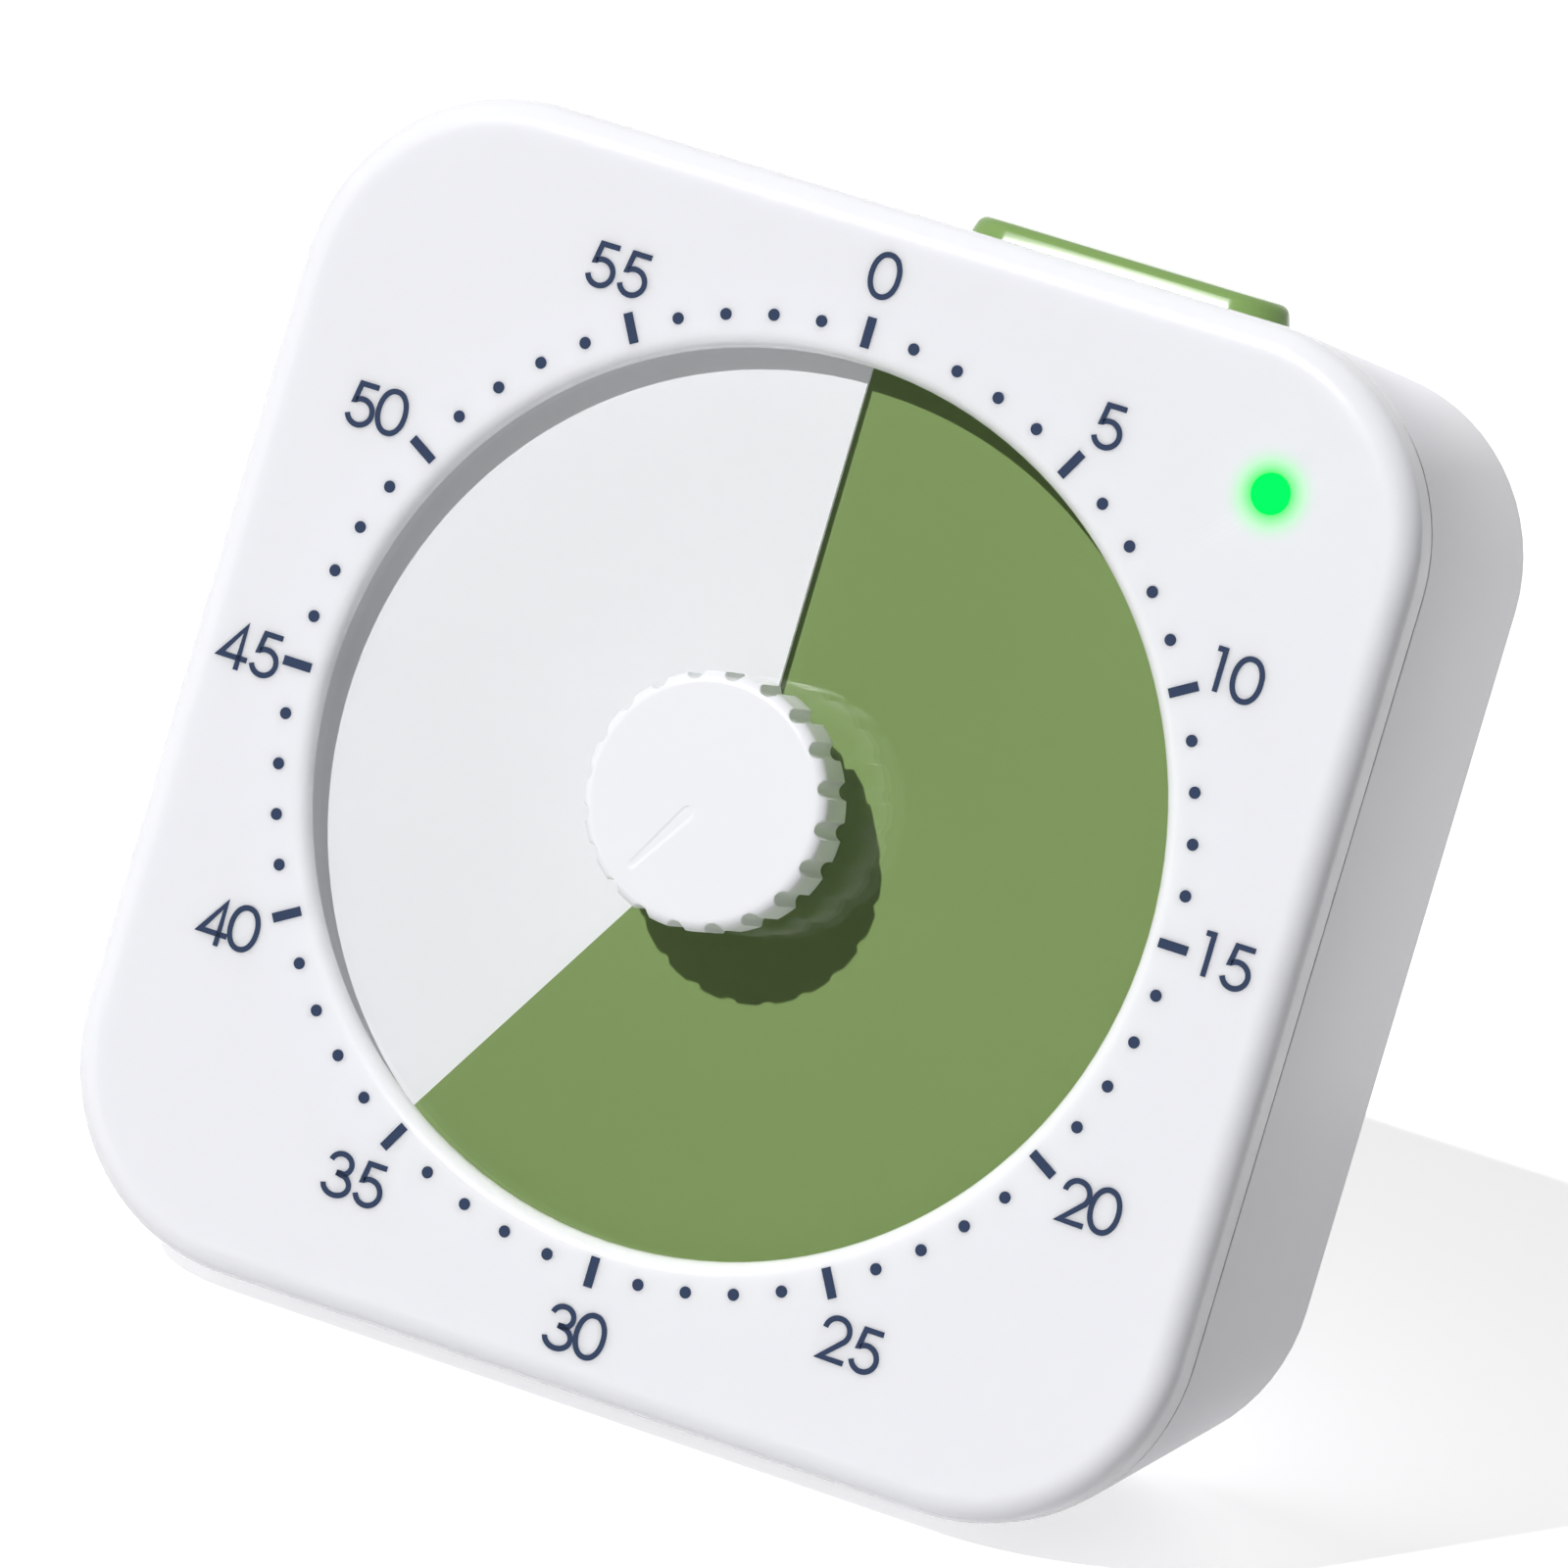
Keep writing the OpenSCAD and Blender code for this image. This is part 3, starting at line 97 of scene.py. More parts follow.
cover_low, cover_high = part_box("front_cover")
case_width = cover_high.x - cover_low.x
knob_set = -min(knob_joint["range_deg"])
knob_low, knob_high = face_box("knob")
knob_radius = (knob_high.x - knob_low.x) / 2
sheet_low, sheet_high = face_box("dial_sheet")
disc_low = face_box("colour_disc")[0]
light_low, light_high = face_box("light_pipe")
light_place = (light_low + light_high) / 2
button_low, button_high = face_box("top_button")


# ---- settings ----


def length_prop(name, description, default, **more):
    return FloatProperty(
        name=name, description=description, default=default, unit="LENGTH", **more)


def number_prop(name, description, default):
    return FloatProperty(name=name, description=description, default=default)


def colour_prop(name, description, default):
    return FloatVectorProperty(
        name=name, description=description, default=default, subtype="COLOR", min=0, max=1)


def direction_prop(name, description, default):
    return FloatVectorProperty(name=name, description=description, default=default, subtype="XYZ")


class TIMER_PG_sizes(bpy.types.PropertyGroup):
    """Sizes of the pieces that are shaped here"""

    case_width: length_prop("Case width", "Width and height of the face", case_width)
    corner_radius: length_prop("Corner radius", "Radius of the face's corners", 25 * MM)
    cover_depth: length_prop("Cover depth", "Depth of the front cover's side", 6.8 * MM)
    face_rounding: length_prop("Face rounding", "Rounding of the face's outer edge", 3.5 * MM)
    face_thickness: length_prop("Face thickness", "Thickness of the face around the window", 2 * MM)
    window_radius: length_prop("Window radius", "Radius of the round window", 52 * MM)
    window_rounding: length_prop("Window rounding", "Rounding of the window's edge", 1.9 * MM)
    knob_radius: length_prop("Knob radius", "Outer radius of the knob", knob_radius)
    flutes: IntProperty(name="Flutes", description="Finger flutes around the knob", default=20)
    flute_radius: length_prop("Flute radius", "Radius of each flute", 1 * MM)
    knob_rounding: length_prop("Knob rounding", "Rounding of the knob's front edge", 1.5 * MM)
    groove_depth: length_prop(
        "Groove depth", "Depth of the pointer's shallow groove", 0.1 * MM, precision=5)
    ink_thickness: length_prop(
        "Ink thickness", "Height of the printed scale over the face", 0.02 * MM, precision=6)
    figure_height: length_prop("Figure height", "Height of the printed figures", 5.2 * MM)
    stroke_width: length_prop("Stroke width", "Width of the figures' strokes", 0.66 * MM)
    dot_ring_radius: length_prop("Dot ring radius", "Radius of the ring of minute dots", 55.7 * MM)
    dot_radius: length_prop("Dot radius", "Radius of a minute dot", 0.7 * MM)
    knob_set: number_prop("Knob set", "Clock angle of the pointer at rest, in degrees", knob_set)


class TIMER_PG_finishes(bpy.types.PropertyGroup):
    """Colours of the visible pieces"""

    case_white: colour_prop("Case white", "Colour of cover and housing", (0.85, 0.855, 0.895))
    knob_white: colour_prop("Knob white", "Colour of the knob", (0.85, 0.856, 0.885))
    dial_white: colour_prop("Dial white", "Colour of the dial sheet", (0.67, 0.678, 0.694))
    dial_green: colour_prop("Dial green", "Colour of the disc", (0.222, 0.322, 0.118))
    button_green: colour_prop("Button green", "Colour of the top button", (0.195, 0.325, 0.095))
    ink_blue: colour_prop("Ink blue", "Colour of the printed scale", (0.028, 0.045, 0.095))
    light_green: colour_prop("Light green", "Colour of the status light", (0.0, 1.0, 0.105))


class TIMER_PG_stage(bpy.types.PropertyGroup):
    """Camera and lights, with directions in the face frame"""

    focal_length: number_prop("Focal length", "Focal length of the camera", 303.7)
    camera_place: FloatVectorProperty(
        name="Camera place", description="Place of the camera over the face",
        default=(0.52353, 0.10465, 1.40288), subtype="TRANSLATION", unit="LENGTH")
    camera_right: direction_prop(
        "Camera right", "The camera's right", (0.89323721, 0.28218907, -0.34999517))
    camera_down: direction_prop(
        "Camera down", "The camera's way down", (0.28762934, -0.95700618, -0.03753042))
    key_direction: direction_prop(
        "Key direction", "Direction to the key light", (-0.266, 0.470, 0.842))
    key_strength: number_prop("Key strength", "Strength of the key light", 3.15)
    key_angle: number_prop("Key angle", "Apparent size of the key light, in degrees", 1.0)
    side_strength: number_prop("Side strength", "Strength of the lower right light", 0.15)
    back_strength: number_prop("Back strength", "Strength of the soft light from behind", 1.6)
    top_strength: number_prop("Top strength", "Strength of the light from above and behind", 1.0)
    under_strength: number_prop("Under strength", "Strength of the soft light from below", 1.2)
    streak_strength: number_prop("Streak strength", "Light that only the button's gloss shows", 5.0)
    room_level: number_prop("Room level", "Level of the light that comes from all around", 0.09)
    floor_radius: length_prop("Floor radius", "Radius of the round floor", 9.0)
    floor_lift: number_prop("Floor lift", "Brightness added to the floor where it is seen", 0.5)
    card_direction: direction_prop(
        "Card direction", "Direction from the dial to the dark card, in the room's own axes",
        (-0.349, -0.931, 0.110))
    card_distance: length_prop("Card distance", "Distance from the dial to the dark card", 1.0)
    card_size: length_prop("Card size", "Side of the square dark card", 0.5)


def sizes():
    return bpy.context.scene.timer_sizes


def finishes():
    return bpy.context.scene.timer_finishes


def stage():
    return bpy.context.scene.timer_stage


# ---- mesh helpers ----


def new_piece(name, shape, material, body, replaced=(), smooth_deg=35):
    """A mesh piece drawn in the face frame, dressed, put in place and riding on its body."""
    verts, faces = shape
    mesh = bpy.data.meshes.new(name)
    mesh.from_pydata([tuple(v) for v in verts], [], [tuple(f) for f in faces])
    mesh.validate()
    mesh.transform(face_frame)
    built = bmesh.new()
    built.from_mesh(mesh)
    bmesh.ops.remove_doubles(built, verts=built.verts, dist=SAME_POINT)
    bmesh.ops.recalc_face_normals(built, faces=built.faces)
    built.to_mesh(mesh)
    built.free()
    piece = bpy.data.objects.new(name, mesh)
    bpy.context.scene.collection.objects.link(piece)
    mesh.materials.append(material)
    mesh.polygons.foreach_set("use_smooth", [True] * len(mesh.polygons))
    mesh.set_sharp_from_angle(angle=radians(smooth_deg))
    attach(piece, body)
    if replaced:
        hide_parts(*replaced)
    return piece


def loft(rings, closed=False, open_start=False):
    """Verts and faces through rings with the same number of points each. The ends are capped,
    or where closed, the last ring joins the first."""
    verts = [p for ring in rings for p in ring]
    count = len(rings[0])
    faces = []
    for i in range(len(rings) if closed else len(rings) - 1):
        a, b = i * count, (i + 1) % len(rings) * count
        for j in range(count):
            k = (j + 1) % count
            faces.append((a + j, a + k, b + k, b + j))
    if not closed:
        if not open_start:
            faces.append(tuple(reversed(range(count))))
        faces.append(tuple(range(len(verts) - count, len(verts))))
    return verts, faces


def joined(parts):
    """One verts and faces pair out of several."""
    verts, faces = [], []
    for v, f in parts:
        base = len(verts)
        verts += list(v)
        faces += [tuple(i + base for i in face) for face in f]
    return verts, faces


def quarter(steps):
    """Angles from nothing to a right angle, in radians."""
    return [radians(90 * i / steps) for i in range(steps + 1)]


def arc(r, first, last, steps):
    turns = [radians(first + (last - first) * i / steps) for i in range(steps + 1)]
    return [(r * cos(a), r * sin(a)) for a in turns]


def square_ring(half, radius, depth, corner_steps=40, side_steps=24):
    """Rounded square, counter-clockwise from the right side's upper end."""
    c = half - radius
    bends = [
        [(x + u, y + v) for u, v in arc(radius, 90 * n, 90 * n + 90, corner_steps)]
        for n, (x, y) in enumerate(((c, c), (-c, c), (-c, -c), (c, -c)))]
    points = []
    for bend, following in zip(bends, bends[1:] + bends[:1]):
        (px, py), (qx, qy) = bend[-1], following[0]
        points += bend[:-1]
        for i in range(side_steps):
            points.append((px + (qx - px) * i / side_steps, py + (qy - py) * i / side_steps))
    return [(x, y, -depth) for x, y in points]


def circle_like(ring, radius, depth):
    """Circle with a point in the direction of each point of ring."""
    out = []
    for x, y, _ in ring:
        away = hypot(x, y)
        out.append((x / away * radius, y / away * radius, -depth))
    return out


def round_ring(radius, depth, count=96, at=(0, 0)):
    turns = [2 * pi * i / count for i in range(count)]
    return [(at[0] + radius * cos(a), at[1] + radius * sin(a), -depth) for a in turns]


def post(at, first, last, outer, inner=0, count=32):
    """Hollow or solid post between two depths."""
    corners = [(outer, first), (outer, last)]
    if inner:
        corners = [(inner, first), *corners, (inner, last)]
    return loft([round_ring(r, depth, count, at) for r, depth in corners], closed=bool(inner))


def held(value, low, high):
    return max(low, min(high, value))


def smooth(value, low, high):
    t = held((value - low) / (high - low), 0.0, 1.0)
    return t * t * (3 - 2 * t)


def clock(radius, degrees):
    """The point at a clock angle, which runs clockwise from the top."""
    a = radians(degrees)
    return radius * sin(a), radius * cos(a)


# ---- shader nodes ----


def is_socket(value):
    return isinstance(value, bpy.types.NodeSocket)


def tree_of(values):
    """The tree of the first socket among the values."""
    return next(value.id_data for value in values if is_socket(value))


def feed(socket, value):
    """Link a socket to the one that feeds it, or set it to a plain value."""
    if is_socket(value):
        socket.id_data.links.new(value, socket)
    else:
        socket.default_value = value


def give(node, **values):
    """Feed a node's inputs by name, with _ for each space."""
    for label, value in values.items():
        feed(node.inputs[label.replace("_", " ")], value)
    return node


def new_node(tree, kind, **settings):
    node = tree.nodes.new("ShaderNode" + kind)
    for key, value in settings.items():
        setattr(node, key, value)
    return node


def maths(operation, *values, out=0, kind="Math", **settings):
    node = new_node(tree_of(values), kind, operation=operation, **settings)
    for socket, value in zip(node.inputs, values):
        feed(socket, value)
    return node.outputs[out]


def place_of(tree):
    return new_node(tree, "TexCoord").outputs["Object"]


def noise(tree, scale, detail=3.0, rough=0.5, vector=None):
    place = vector if vector is not None else place_of(tree)
    node = new_node(tree, "TexNoise")
    return give(node, Scale=scale, Detail=detail, Roughness=rough, Vector=place).outputs["Fac"]


def cells_of(tree, scale, randomness=1.0, **settings):
    node = new_node(tree, "TexVoronoi", **settings)
    return give(node, Scale=scale, Randomness=randomness, Vector=place_of(tree)).outputs


def ramp(value, low, high, out_low=0.0, out_high=1.0):
    node = new_node(value.id_data, "MapRange")
    give(node, From_Min=low, From_Max=high, To_Min=out_low, To_Max=out_high, Value=value)
    return node.outputs[0]


def mixed(factor, a, b, blend="MIX"):
    """Colour a where factor is zero and b where it is one."""
    node = new_node(tree_of((factor, a, b)), "Mix", data_type="RGBA", blend_type=blend)
    a, b = (c if is_socket(c) else (*c, 1) for c in (a, b))
    return give(node, Factor=factor, A=a, B=b).outputs["Result"]


def tinted(colour, factor):
    """colour scaled by a factor that varies over the surface."""
    grey = new_node(factor.id_data, "CombineColor")
    for socket in grey.inputs:
        feed(socket, factor)
    return mixed(1.0, colour, grey.outputs[0], "MULTIPLY")


def uneven(value, spread, base):
    """base, swung by a value about one half."""
    return maths("MULTIPLY_ADD", maths("SUBTRACT", value, 0.5), spread, base, use_clamp=True)


def bump(shader, height, strength, distance, normal=None):
    node = new_node(shader.id_data, "Bump")
    give(node, Strength=strength, Distance=distance, Height=height)
    if normal is not None:
        give(node, Normal=normal)
    give(shader, Normal=node.outputs[0])


# ---- shared node groups ----

FLOAT, COLOUR, VECTOR = "NodeSocketFloat", "NodeSocketColor", "NodeSocketVector"


def group_named(name, inputs, outputs):
    """A new group with an input for each starting value, and its input and output nodes."""
    tree = bpy.data.node_groups.new(name, "ShaderNodeTree")
    for label, value in inputs.items():
        kind = FLOAT if isinstance(value, float) else COLOUR if len(value) == 4 else VECTOR
        socket = tree.interface.new_socket(label, in_out="INPUT", socket_type=kind)
        socket.default_value = value
    for label, kind in outputs.items():
        tree.interface.new_socket(label, in_out="OUTPUT", socket_type=kind)
    return tree, tree.nodes.new("NodeGroupInput").outputs, tree.nodes.new("NodeGroupOutput")


def build_moulded_group():
    """Fine moulding grain: a colour mottle, a roughness that varies and a height for a bump."""
    tree, given, out = group_named(
        "moulded grain",
        {"Colour": (0.8, 0.8, 0.8, 1), "Grain scale": 2600.0, "Mottle": 0.02,
         "Gloss base": 0.35, "Gloss spread": 0.08},
        {"Colour": COLOUR, "Roughness": FLOAT, "Height": FLOAT})
    broad = noise(tree, 38.0, 4.0, 0.55)
    fine = noise(tree, given["Grain scale"], 2.0, 0.6)
    both = maths("ADD", maths("MULTIPLY", broad, 0.65), maths("MULTIPLY", fine, 0.35))
    swing = maths("MULTIPLY", maths("SUBTRACT", both, 0.5), given["Mottle"])
    shown = tinted(given["Colour"], maths("ADD", swing, 1.0))
    gloss = uneven(broad, given["Gloss spread"], given["Gloss base"])
    give(out, Colour=shown, Roughness=gloss, Height=fine)
    return tree


def build_dust_group():
    """A few pale specks on a polished or printed face."""
    tree, given, out = group_named(
        "fine dust", {"Speck scale": 260.0, "Speck share": 0.03}, {"Specks": FLOAT})
    cells = cells_of(tree, given["Speck scale"], feature="F1")
    chosen = new_node(tree, "SeparateColor")
    feed(chosen.inputs[0], cells["Color"])
    rare = maths("LESS_THAN", chosen.outputs[0], given["Speck share"])
    size = maths("MULTIPLY", chosen.outputs[1], 0.10)
    near = maths("LESS_THAN", cells["Distance"], size)
    give(out, Specks=maths("MULTIPLY", rare, near))
    return tree


def build_lines_group():
    """Fine drawn or turned lines along one axis, for wire and steel."""
    tree, given, out = group_named(
        "drawn lines", {"Stretch": (40.0, 2500.0, 2500.0), "Spread": 0.2, "Gloss base": 0.3},
        {"Lines": FLOAT, "Roughness": FLOAT})
    scaled = maths("MULTIPLY", place_of(tree), given["Stretch"], kind="VectorMath")
    lines = noise(tree, 1.0, 3.0, 0.6, scaled)
    gloss = uneven(lines, given["Spread"], given["Gloss base"])
    give(out, Lines=lines, Roughness=gloss)
    return tree


def build_edge_group():
    """Softens sharp edges in the shading alone, by a small radius."""
    tree, given, out = group_named("softened edges", {"Radius": 0.15 * MM}, {"Normal": VECTOR})
    soft = give(new_node(tree, "Bevel", samples=4), Radius=given["Radius"])
    give(out, Normal=soft.outputs[0])
    return tree


def build_smoothing_group(angle_deg=38):
    """Geometry nodes that join split corners and shade gentle bends smooth."""
    tree = bpy.data.node_groups.new("smooth gentle bends", "GeometryNodeTree")
    for way in ("INPUT", "OUTPUT"):
        tree.interface.new_socket("Geometry", in_out=way, socket_type="NodeSocketGeometry")
    given, out = tree.nodes.new("NodeGroupInput"), tree.nodes.new("NodeGroupOutput")
    merge = tree.nodes.new("GeometryNodeMergeByDistance")
    faces, edges = (tree.nodes.new("GeometryNodeSetShadeSmooth") for _ in range(2))
    faces.domain, edges.domain = "FACE", "EDGE"
    bend = tree.nodes.new("GeometryNodeInputMeshEdgeAngle")
    steep = tree.nodes.new("FunctionNodeCompare")
    steep.data_type, steep.operation = "FLOAT", "GREATER_THAN"
    give(merge, Geometry=given.outputs[0], Distance=SAME_POINT)
    give(faces, Geometry=merge.outputs[0], Shade_Smooth=True)
    give(steep, A=bend.outputs["Unsigned Angle"], B=radians(angle_deg))
    give(edges, Geometry=faces.outputs[0], Selection=steep.outputs["Result"], Shade_Smooth=False)
    give(out, Geometry=edges.outputs[0])
    return tree


BUILDERS = {
    "moulded grain": build_moulded_group,
    "fine dust": build_dust_group,
    "drawn lines": build_lines_group,
    "softened edges": build_edge_group,
    "smooth gentle bends": build_smoothing_group,
}
groups = {}


def shared_group(name):
    if name not in groups:
        groups[name] = BUILDERS[name]()
    return groups[name]


def use_group(tree, name, **values):
    """Place a shared group with its own values, and hand back its outputs."""
    return give(new_node(tree, "Group", node_tree=shared_group(name)), **values).outputs


# ---- materials ----

materials = {}


def cached(build):
    """Builds a material once under its name, by default the function's own."""

    def ask(name=build.__name__.replace("_", " "), *args, **values):
        if name not in materials:
            material = materials[name] = bpy.data.materials.new(name)
            material.use_nodes = True
            tree = material.node_tree
            build(tree, tree.nodes["Principled BSDF"], *args, **values)
        return materials[name]

    return ask


def mix_shaders(factor, first, second):
    """Shade with first where factor is zero and with second where it is one."""
    tree = factor.id_data
    node = new_node(tree, "MixShader")
    for socket, value in zip(node.inputs, (factor, first.outputs[0], second.outputs[0])):
        feed(socket, value)
    give(tree.nodes["Material Output"], Surface=node.outputs[0])


@cached
def moulded_plastic(
    tree, shader, colour, rough=0.35, spread=0.08, mottle=0.02, grain=2600.0, depth=0.004,
    edge=0.0, specular=0.5, dust=0.0, painted_glow=0.0,
):
    """Moulded plastic with a fine grain and uneven gloss and, where asked, dust, softened edges
    and a painted glow: an even emission in its own colour that lifts its shade."""
    grains = use_group(
        tree, "moulded grain", Colour=(*colour, 1), Grain_scale=grain, Mottle=mottle,
        Gloss_base=rough, Gloss_spread=spread)
    shown = grains["Colour"]
    if dust:
        specks = use_group(tree, "fine dust", Speck_share=dust)["Specks"]
        shown = mixed(specks, shown, (0.62, 0.66, 0.58))
    # Painted light: the surface glows evenly in its own colour, which lifts its shade.
    if painted_glow:
        give(shader, Emission_Color=shown, Emission_Strength=painted_glow)
    give(
        shader, Base_Color=shown, Roughness=grains["Roughness"],
        Specular_IOR_Level=specular, IOR=1.5)
    normal = use_group(tree, "softened edges", Radius=edge)["Normal"] if edge else None
    bump(shader, grains["Height"], 0.25, depth * MM, normal)


@cached
def face_plastic(tree, shader):
    """Satin white face with a painted green glow of the status light around the light pipe."""
    grains = use_group(
        tree, "moulded grain", Colour=(*finishes().case_white, 1), Grain_scale=2400.0,
        Mottle=0.012, Gloss_base=0.24, Gloss_spread=0.05)
    # Painted light: the status light's glow is painted into the face's colour and emission here.
    middle = face_frame @ Vector((light_place.x, light_place.y, 0))
    away = maths("DISTANCE", place_of(tree), middle, out="Value", kind="VectorMath")
    glow = ramp(away, 2.3 * MM, 6.0 * MM, 1.0, 0.0)
    glow = maths("POWER", maths("MAXIMUM", glow, 0.0), 2.2)
    give(
        shader, Base_Color=mixed(glow, grains["Colour"], (0.10, 0.95, 0.18)),
        Emission_Color=mixed(glow, (0, 0, 0), (0.0, 0.28, 0.03)), Emission_Strength=1.0,
        Roughness=grains["Roughness"], Specular_IOR_Level=0.35, IOR=1.5, Subsurface_Weight=1.0,
        Subsurface_Scale=2.0 * MM, Subsurface_Radius=(1.0, 1.0, 1.0))
    bump(shader, grains["Height"], 0.2, 0.004 * MM)


@cached
def clear_acrylic(tree, shader):
    """Polished clear sheet that lets the lamps through to the dial."""
    smears = ramp(noise(tree, 60.0, 4.0, 0.6), 0.62, 0.9, 0.0, 0.012)
    give(shader, Base_Color=(1, 1, 1, 1), Roughness=smears, IOR=1.49, Transmission_Weight=1.0)
    path = new_node(tree, "LightPath").outputs
    either = maths("MAXIMUM", path["Is Shadow Ray"], path["Is Diffuse Ray"])
    mix_shaders(either, shader, new_node(tree, "BsdfTransparent"))


@cached
def glowing_pipe(tree, shader):
    """Light pipe lit from behind, with a faint ripple in its glow."""
    ripple = noise(tree, 420.0, 2.0, 0.5)
    shown = tinted(finishes().light_green, ramp(ripple, 0.2, 0.8, 0.92, 1.0))
    give(
        shader, Base_Color=(0.0, 0.12, 0.03, 1), Emission_Color=shown,
        Emission_Strength=1.0, Roughness=ramp(ripple, 0.2, 0.8, 0.3, 0.42),
        Specular_IOR_Level=0.04)


@cached
def plated_steel(
    tree, shader, colour=(0.60, 0.61, 0.63), rough=0.28, stretch=(300.0, 2600.0, 2600.0),
    metallic=1.0,
):
    """Metal with fine drawn lines and softened edges."""
    lines = use_group(tree, "drawn lines", Stretch=stretch, Spread=0.22, Gloss_base=rough)
    shown = tinted(colour, ramp(lines["Lines"], 0.2, 0.8, 0.86, 1.06))
    give(shader, Base_Color=shown, Roughness=lines["Roughness"], Metallic=metallic)
    soft = use_group(tree, "softened edges", Radius=0.08 * MM)["Normal"]
    bump(shader, lines["Lines"], 0.2, 0.004 * MM, soft)


@cached
def circuit_mask(tree, shader):
    """Green solder mask over copper tracks that show as slightly raised, lighter lines."""
    away = cells_of(tree, 210.0, 0.35, distance="MANHATTAN", feature="F1")["Distance"]
    tracks, pads = ramp(away, 0.42, 0.50), ramp(away, 0.14, 0.11)
    base = mixed(tracks, (0.012, 0.085, 0.040), (0.030, 0.160, 0.070))
    shown = mixed(pads, base, (0.55, 0.52, 0.45))
    rough = ramp(noise(tree, 150.0), 0.2, 0.8, 0.22, 0.38)
    give(shader, Base_Color=shown, Roughness=rough)
    bump(shader, maths("ADD", tracks, pads), 0.4, 0.03 * MM)


@cached
def wound_copper(tree, shader):
    """Enamelled wire wound side by side along the coil."""
    node = new_node(tree, "TexWave", bands_direction="X")
    give(node, Scale=1250.0, Distortion=0.6, Detail=1.0, Vector=place_of(tree))
    bands = node.outputs["Fac"]
    shown = tinted((0.58, 0.20, 0.07), ramp(bands, 0.0, 1.0, 0.55, 1.15))
    rough = ramp(bands, 0.0, 1.0, 0.42, 0.24)
    give(shader, Base_Color=shown, Roughness=rough, Metallic=0.8)
    bump(shader, bands, 0.8, 0.05 * MM)


@cached
def cell_sleeve(tree, shader):
    """Printed sleeve in two plain colours with a bare steel end, around each cell."""
    split = new_node(tree, "SeparateXYZ")
    feed(split.inputs[0], place_of(tree))
    x = split.outputs["X"]
    dark = maths("LESS_THAN", x, 8 * MM)
    end = maths("GREATER_THAN", maths("ABSOLUTE", x), 26.4 * MM)
    sleeve = mixed(dark, (0.62, 0.26, 0.05), (0.022, 0.022, 0.024))
    shown = mixed(end, sleeve, (0.62, 0.62, 0.64))
    rough = ramp(noise(tree, 240.0), 0.2, 0.8, 0.2, 0.34)
    give(shader, Base_Color=shown, Metallic=end, Roughness=rough)


@cached
def pad_rubber(tree, shader):
    """Black rubber with fine pimples."""
    away = cells_of(tree, 620.0, 0.15)["Distance"]
    raised = ramp(away, 0.15, 0.45, 1.0, 0.0)
    shown = tinted((0.055, 0.056, 0.060), ramp(raised, 0.0, 1.0, 0.8, 1.25))
    rough = ramp(raised, 0.0, 1.0, 0.85, 0.68)
    give(shader, Base_Color=shown, Roughness=rough, Specular_IOR_Level=0.3)
    bump(shader, raised, 0.6, 0.08 * MM)


def black_plastic():
    return moulded_plastic(
        "black plastic", (0.012, 0.012, 0.014), rough=0.38, mottle=0.15, edge=0.1 * MM)


# ---- the printed scale ----

TICK_LENGTH, TICK_WIDTH = 3.6 * MM, 1.12 * MM
DRAWN_HEIGHT = 5.2  # of the figures below, in their own millimetres
SHORTEST_STEP, CLOSING_GAP = 0.05, 0.3  # as shares of a stroke's width
MITRE_LIMIT = 0.45

# Each figure's digits, at x and y in radii of the ring of dots.
FIGURES = [
    ("0", [(0.0, 1.120)]),
    ("5", [(0.5535, 0.961)]),
    ("10", [(0.928, 0.5605), (0.990, 0.556)]),
    ("15", [(1.076, 0.007), (1.142, -0.001)]),
    ("20", [(0.954, -0.552), (1.021, -0.551)]),
    ("25", [(0.546, -0.971), (0.6165, -0.974)]),
    ("30", [(-0.032, -1.128), (0.036, -1.127)]),
    ("35", [(-0.594, -0.976), (-0.522, -0.977)]),
    ("40", [(-1.015, -0.562), (-0.949, -0.556)]),
    ("45", [(-1.145, -0.005), (-1.074, -0.003)]),
    ("50", [(-1.025, 0.551), (-0.955, 0.554)]),
    ("55", [(-0.600, 0.972), (-0.527, 0.972)]),
]


def figure_strokes():
    """Centre lines of the figures, in millimetres about the figure's centre, as point lists."""

    def bow(cx, cy, rx, ry, first, last, steps):
        turns = [radians(first + (last - first) * i / steps) for i in range(steps + 1)]
        return [(cx + rx * cos(a), cy + ry * sin(a)) for a in turns]

    def squarish(rx, ry, power, steps=56):
        points = []
        for i in range(steps):
            a = 2 * pi * i / steps
            c, d = cos(a), sin(a)
            x, y = copysign(abs(c) ** power, c), copysign(abs(d) ** power, d)
            points.append((rx * x, ry * y))
        return points

    waist = (-0.33, 0.16)
    five_bowl = bow(0.05, -0.87, 1.53, 1.5, 126, -163, 36)
    return {
        "0": [squarish(1.67, 2.45, 0.94)],
        "1": [[(-0.89, 2.3), (0.08, 2.3), (0.08, -2.55)]],
        "2": [bow(0.03, 0.96, 1.5, 1.47, 178, -40, 30) + [(-1.26, -2.34), (1.75, -2.37)]],
        "3": [
            bow(0.0, 1.2, 1.33, 1.2, 170, -58, 30) + [waist],
            [waist] + bow(0.02, -1.18, 1.6, 1.28, 62, -172, 34)],
        "4": [[(0.81, -2.6), (0.81, 2.43), (-1.62, -1.2), (1.92, -1.2)]],
        "5": [[(1.6, 2.37), (-0.62, 2.37), (-0.95, 0.33)] + five_bowl],
    }


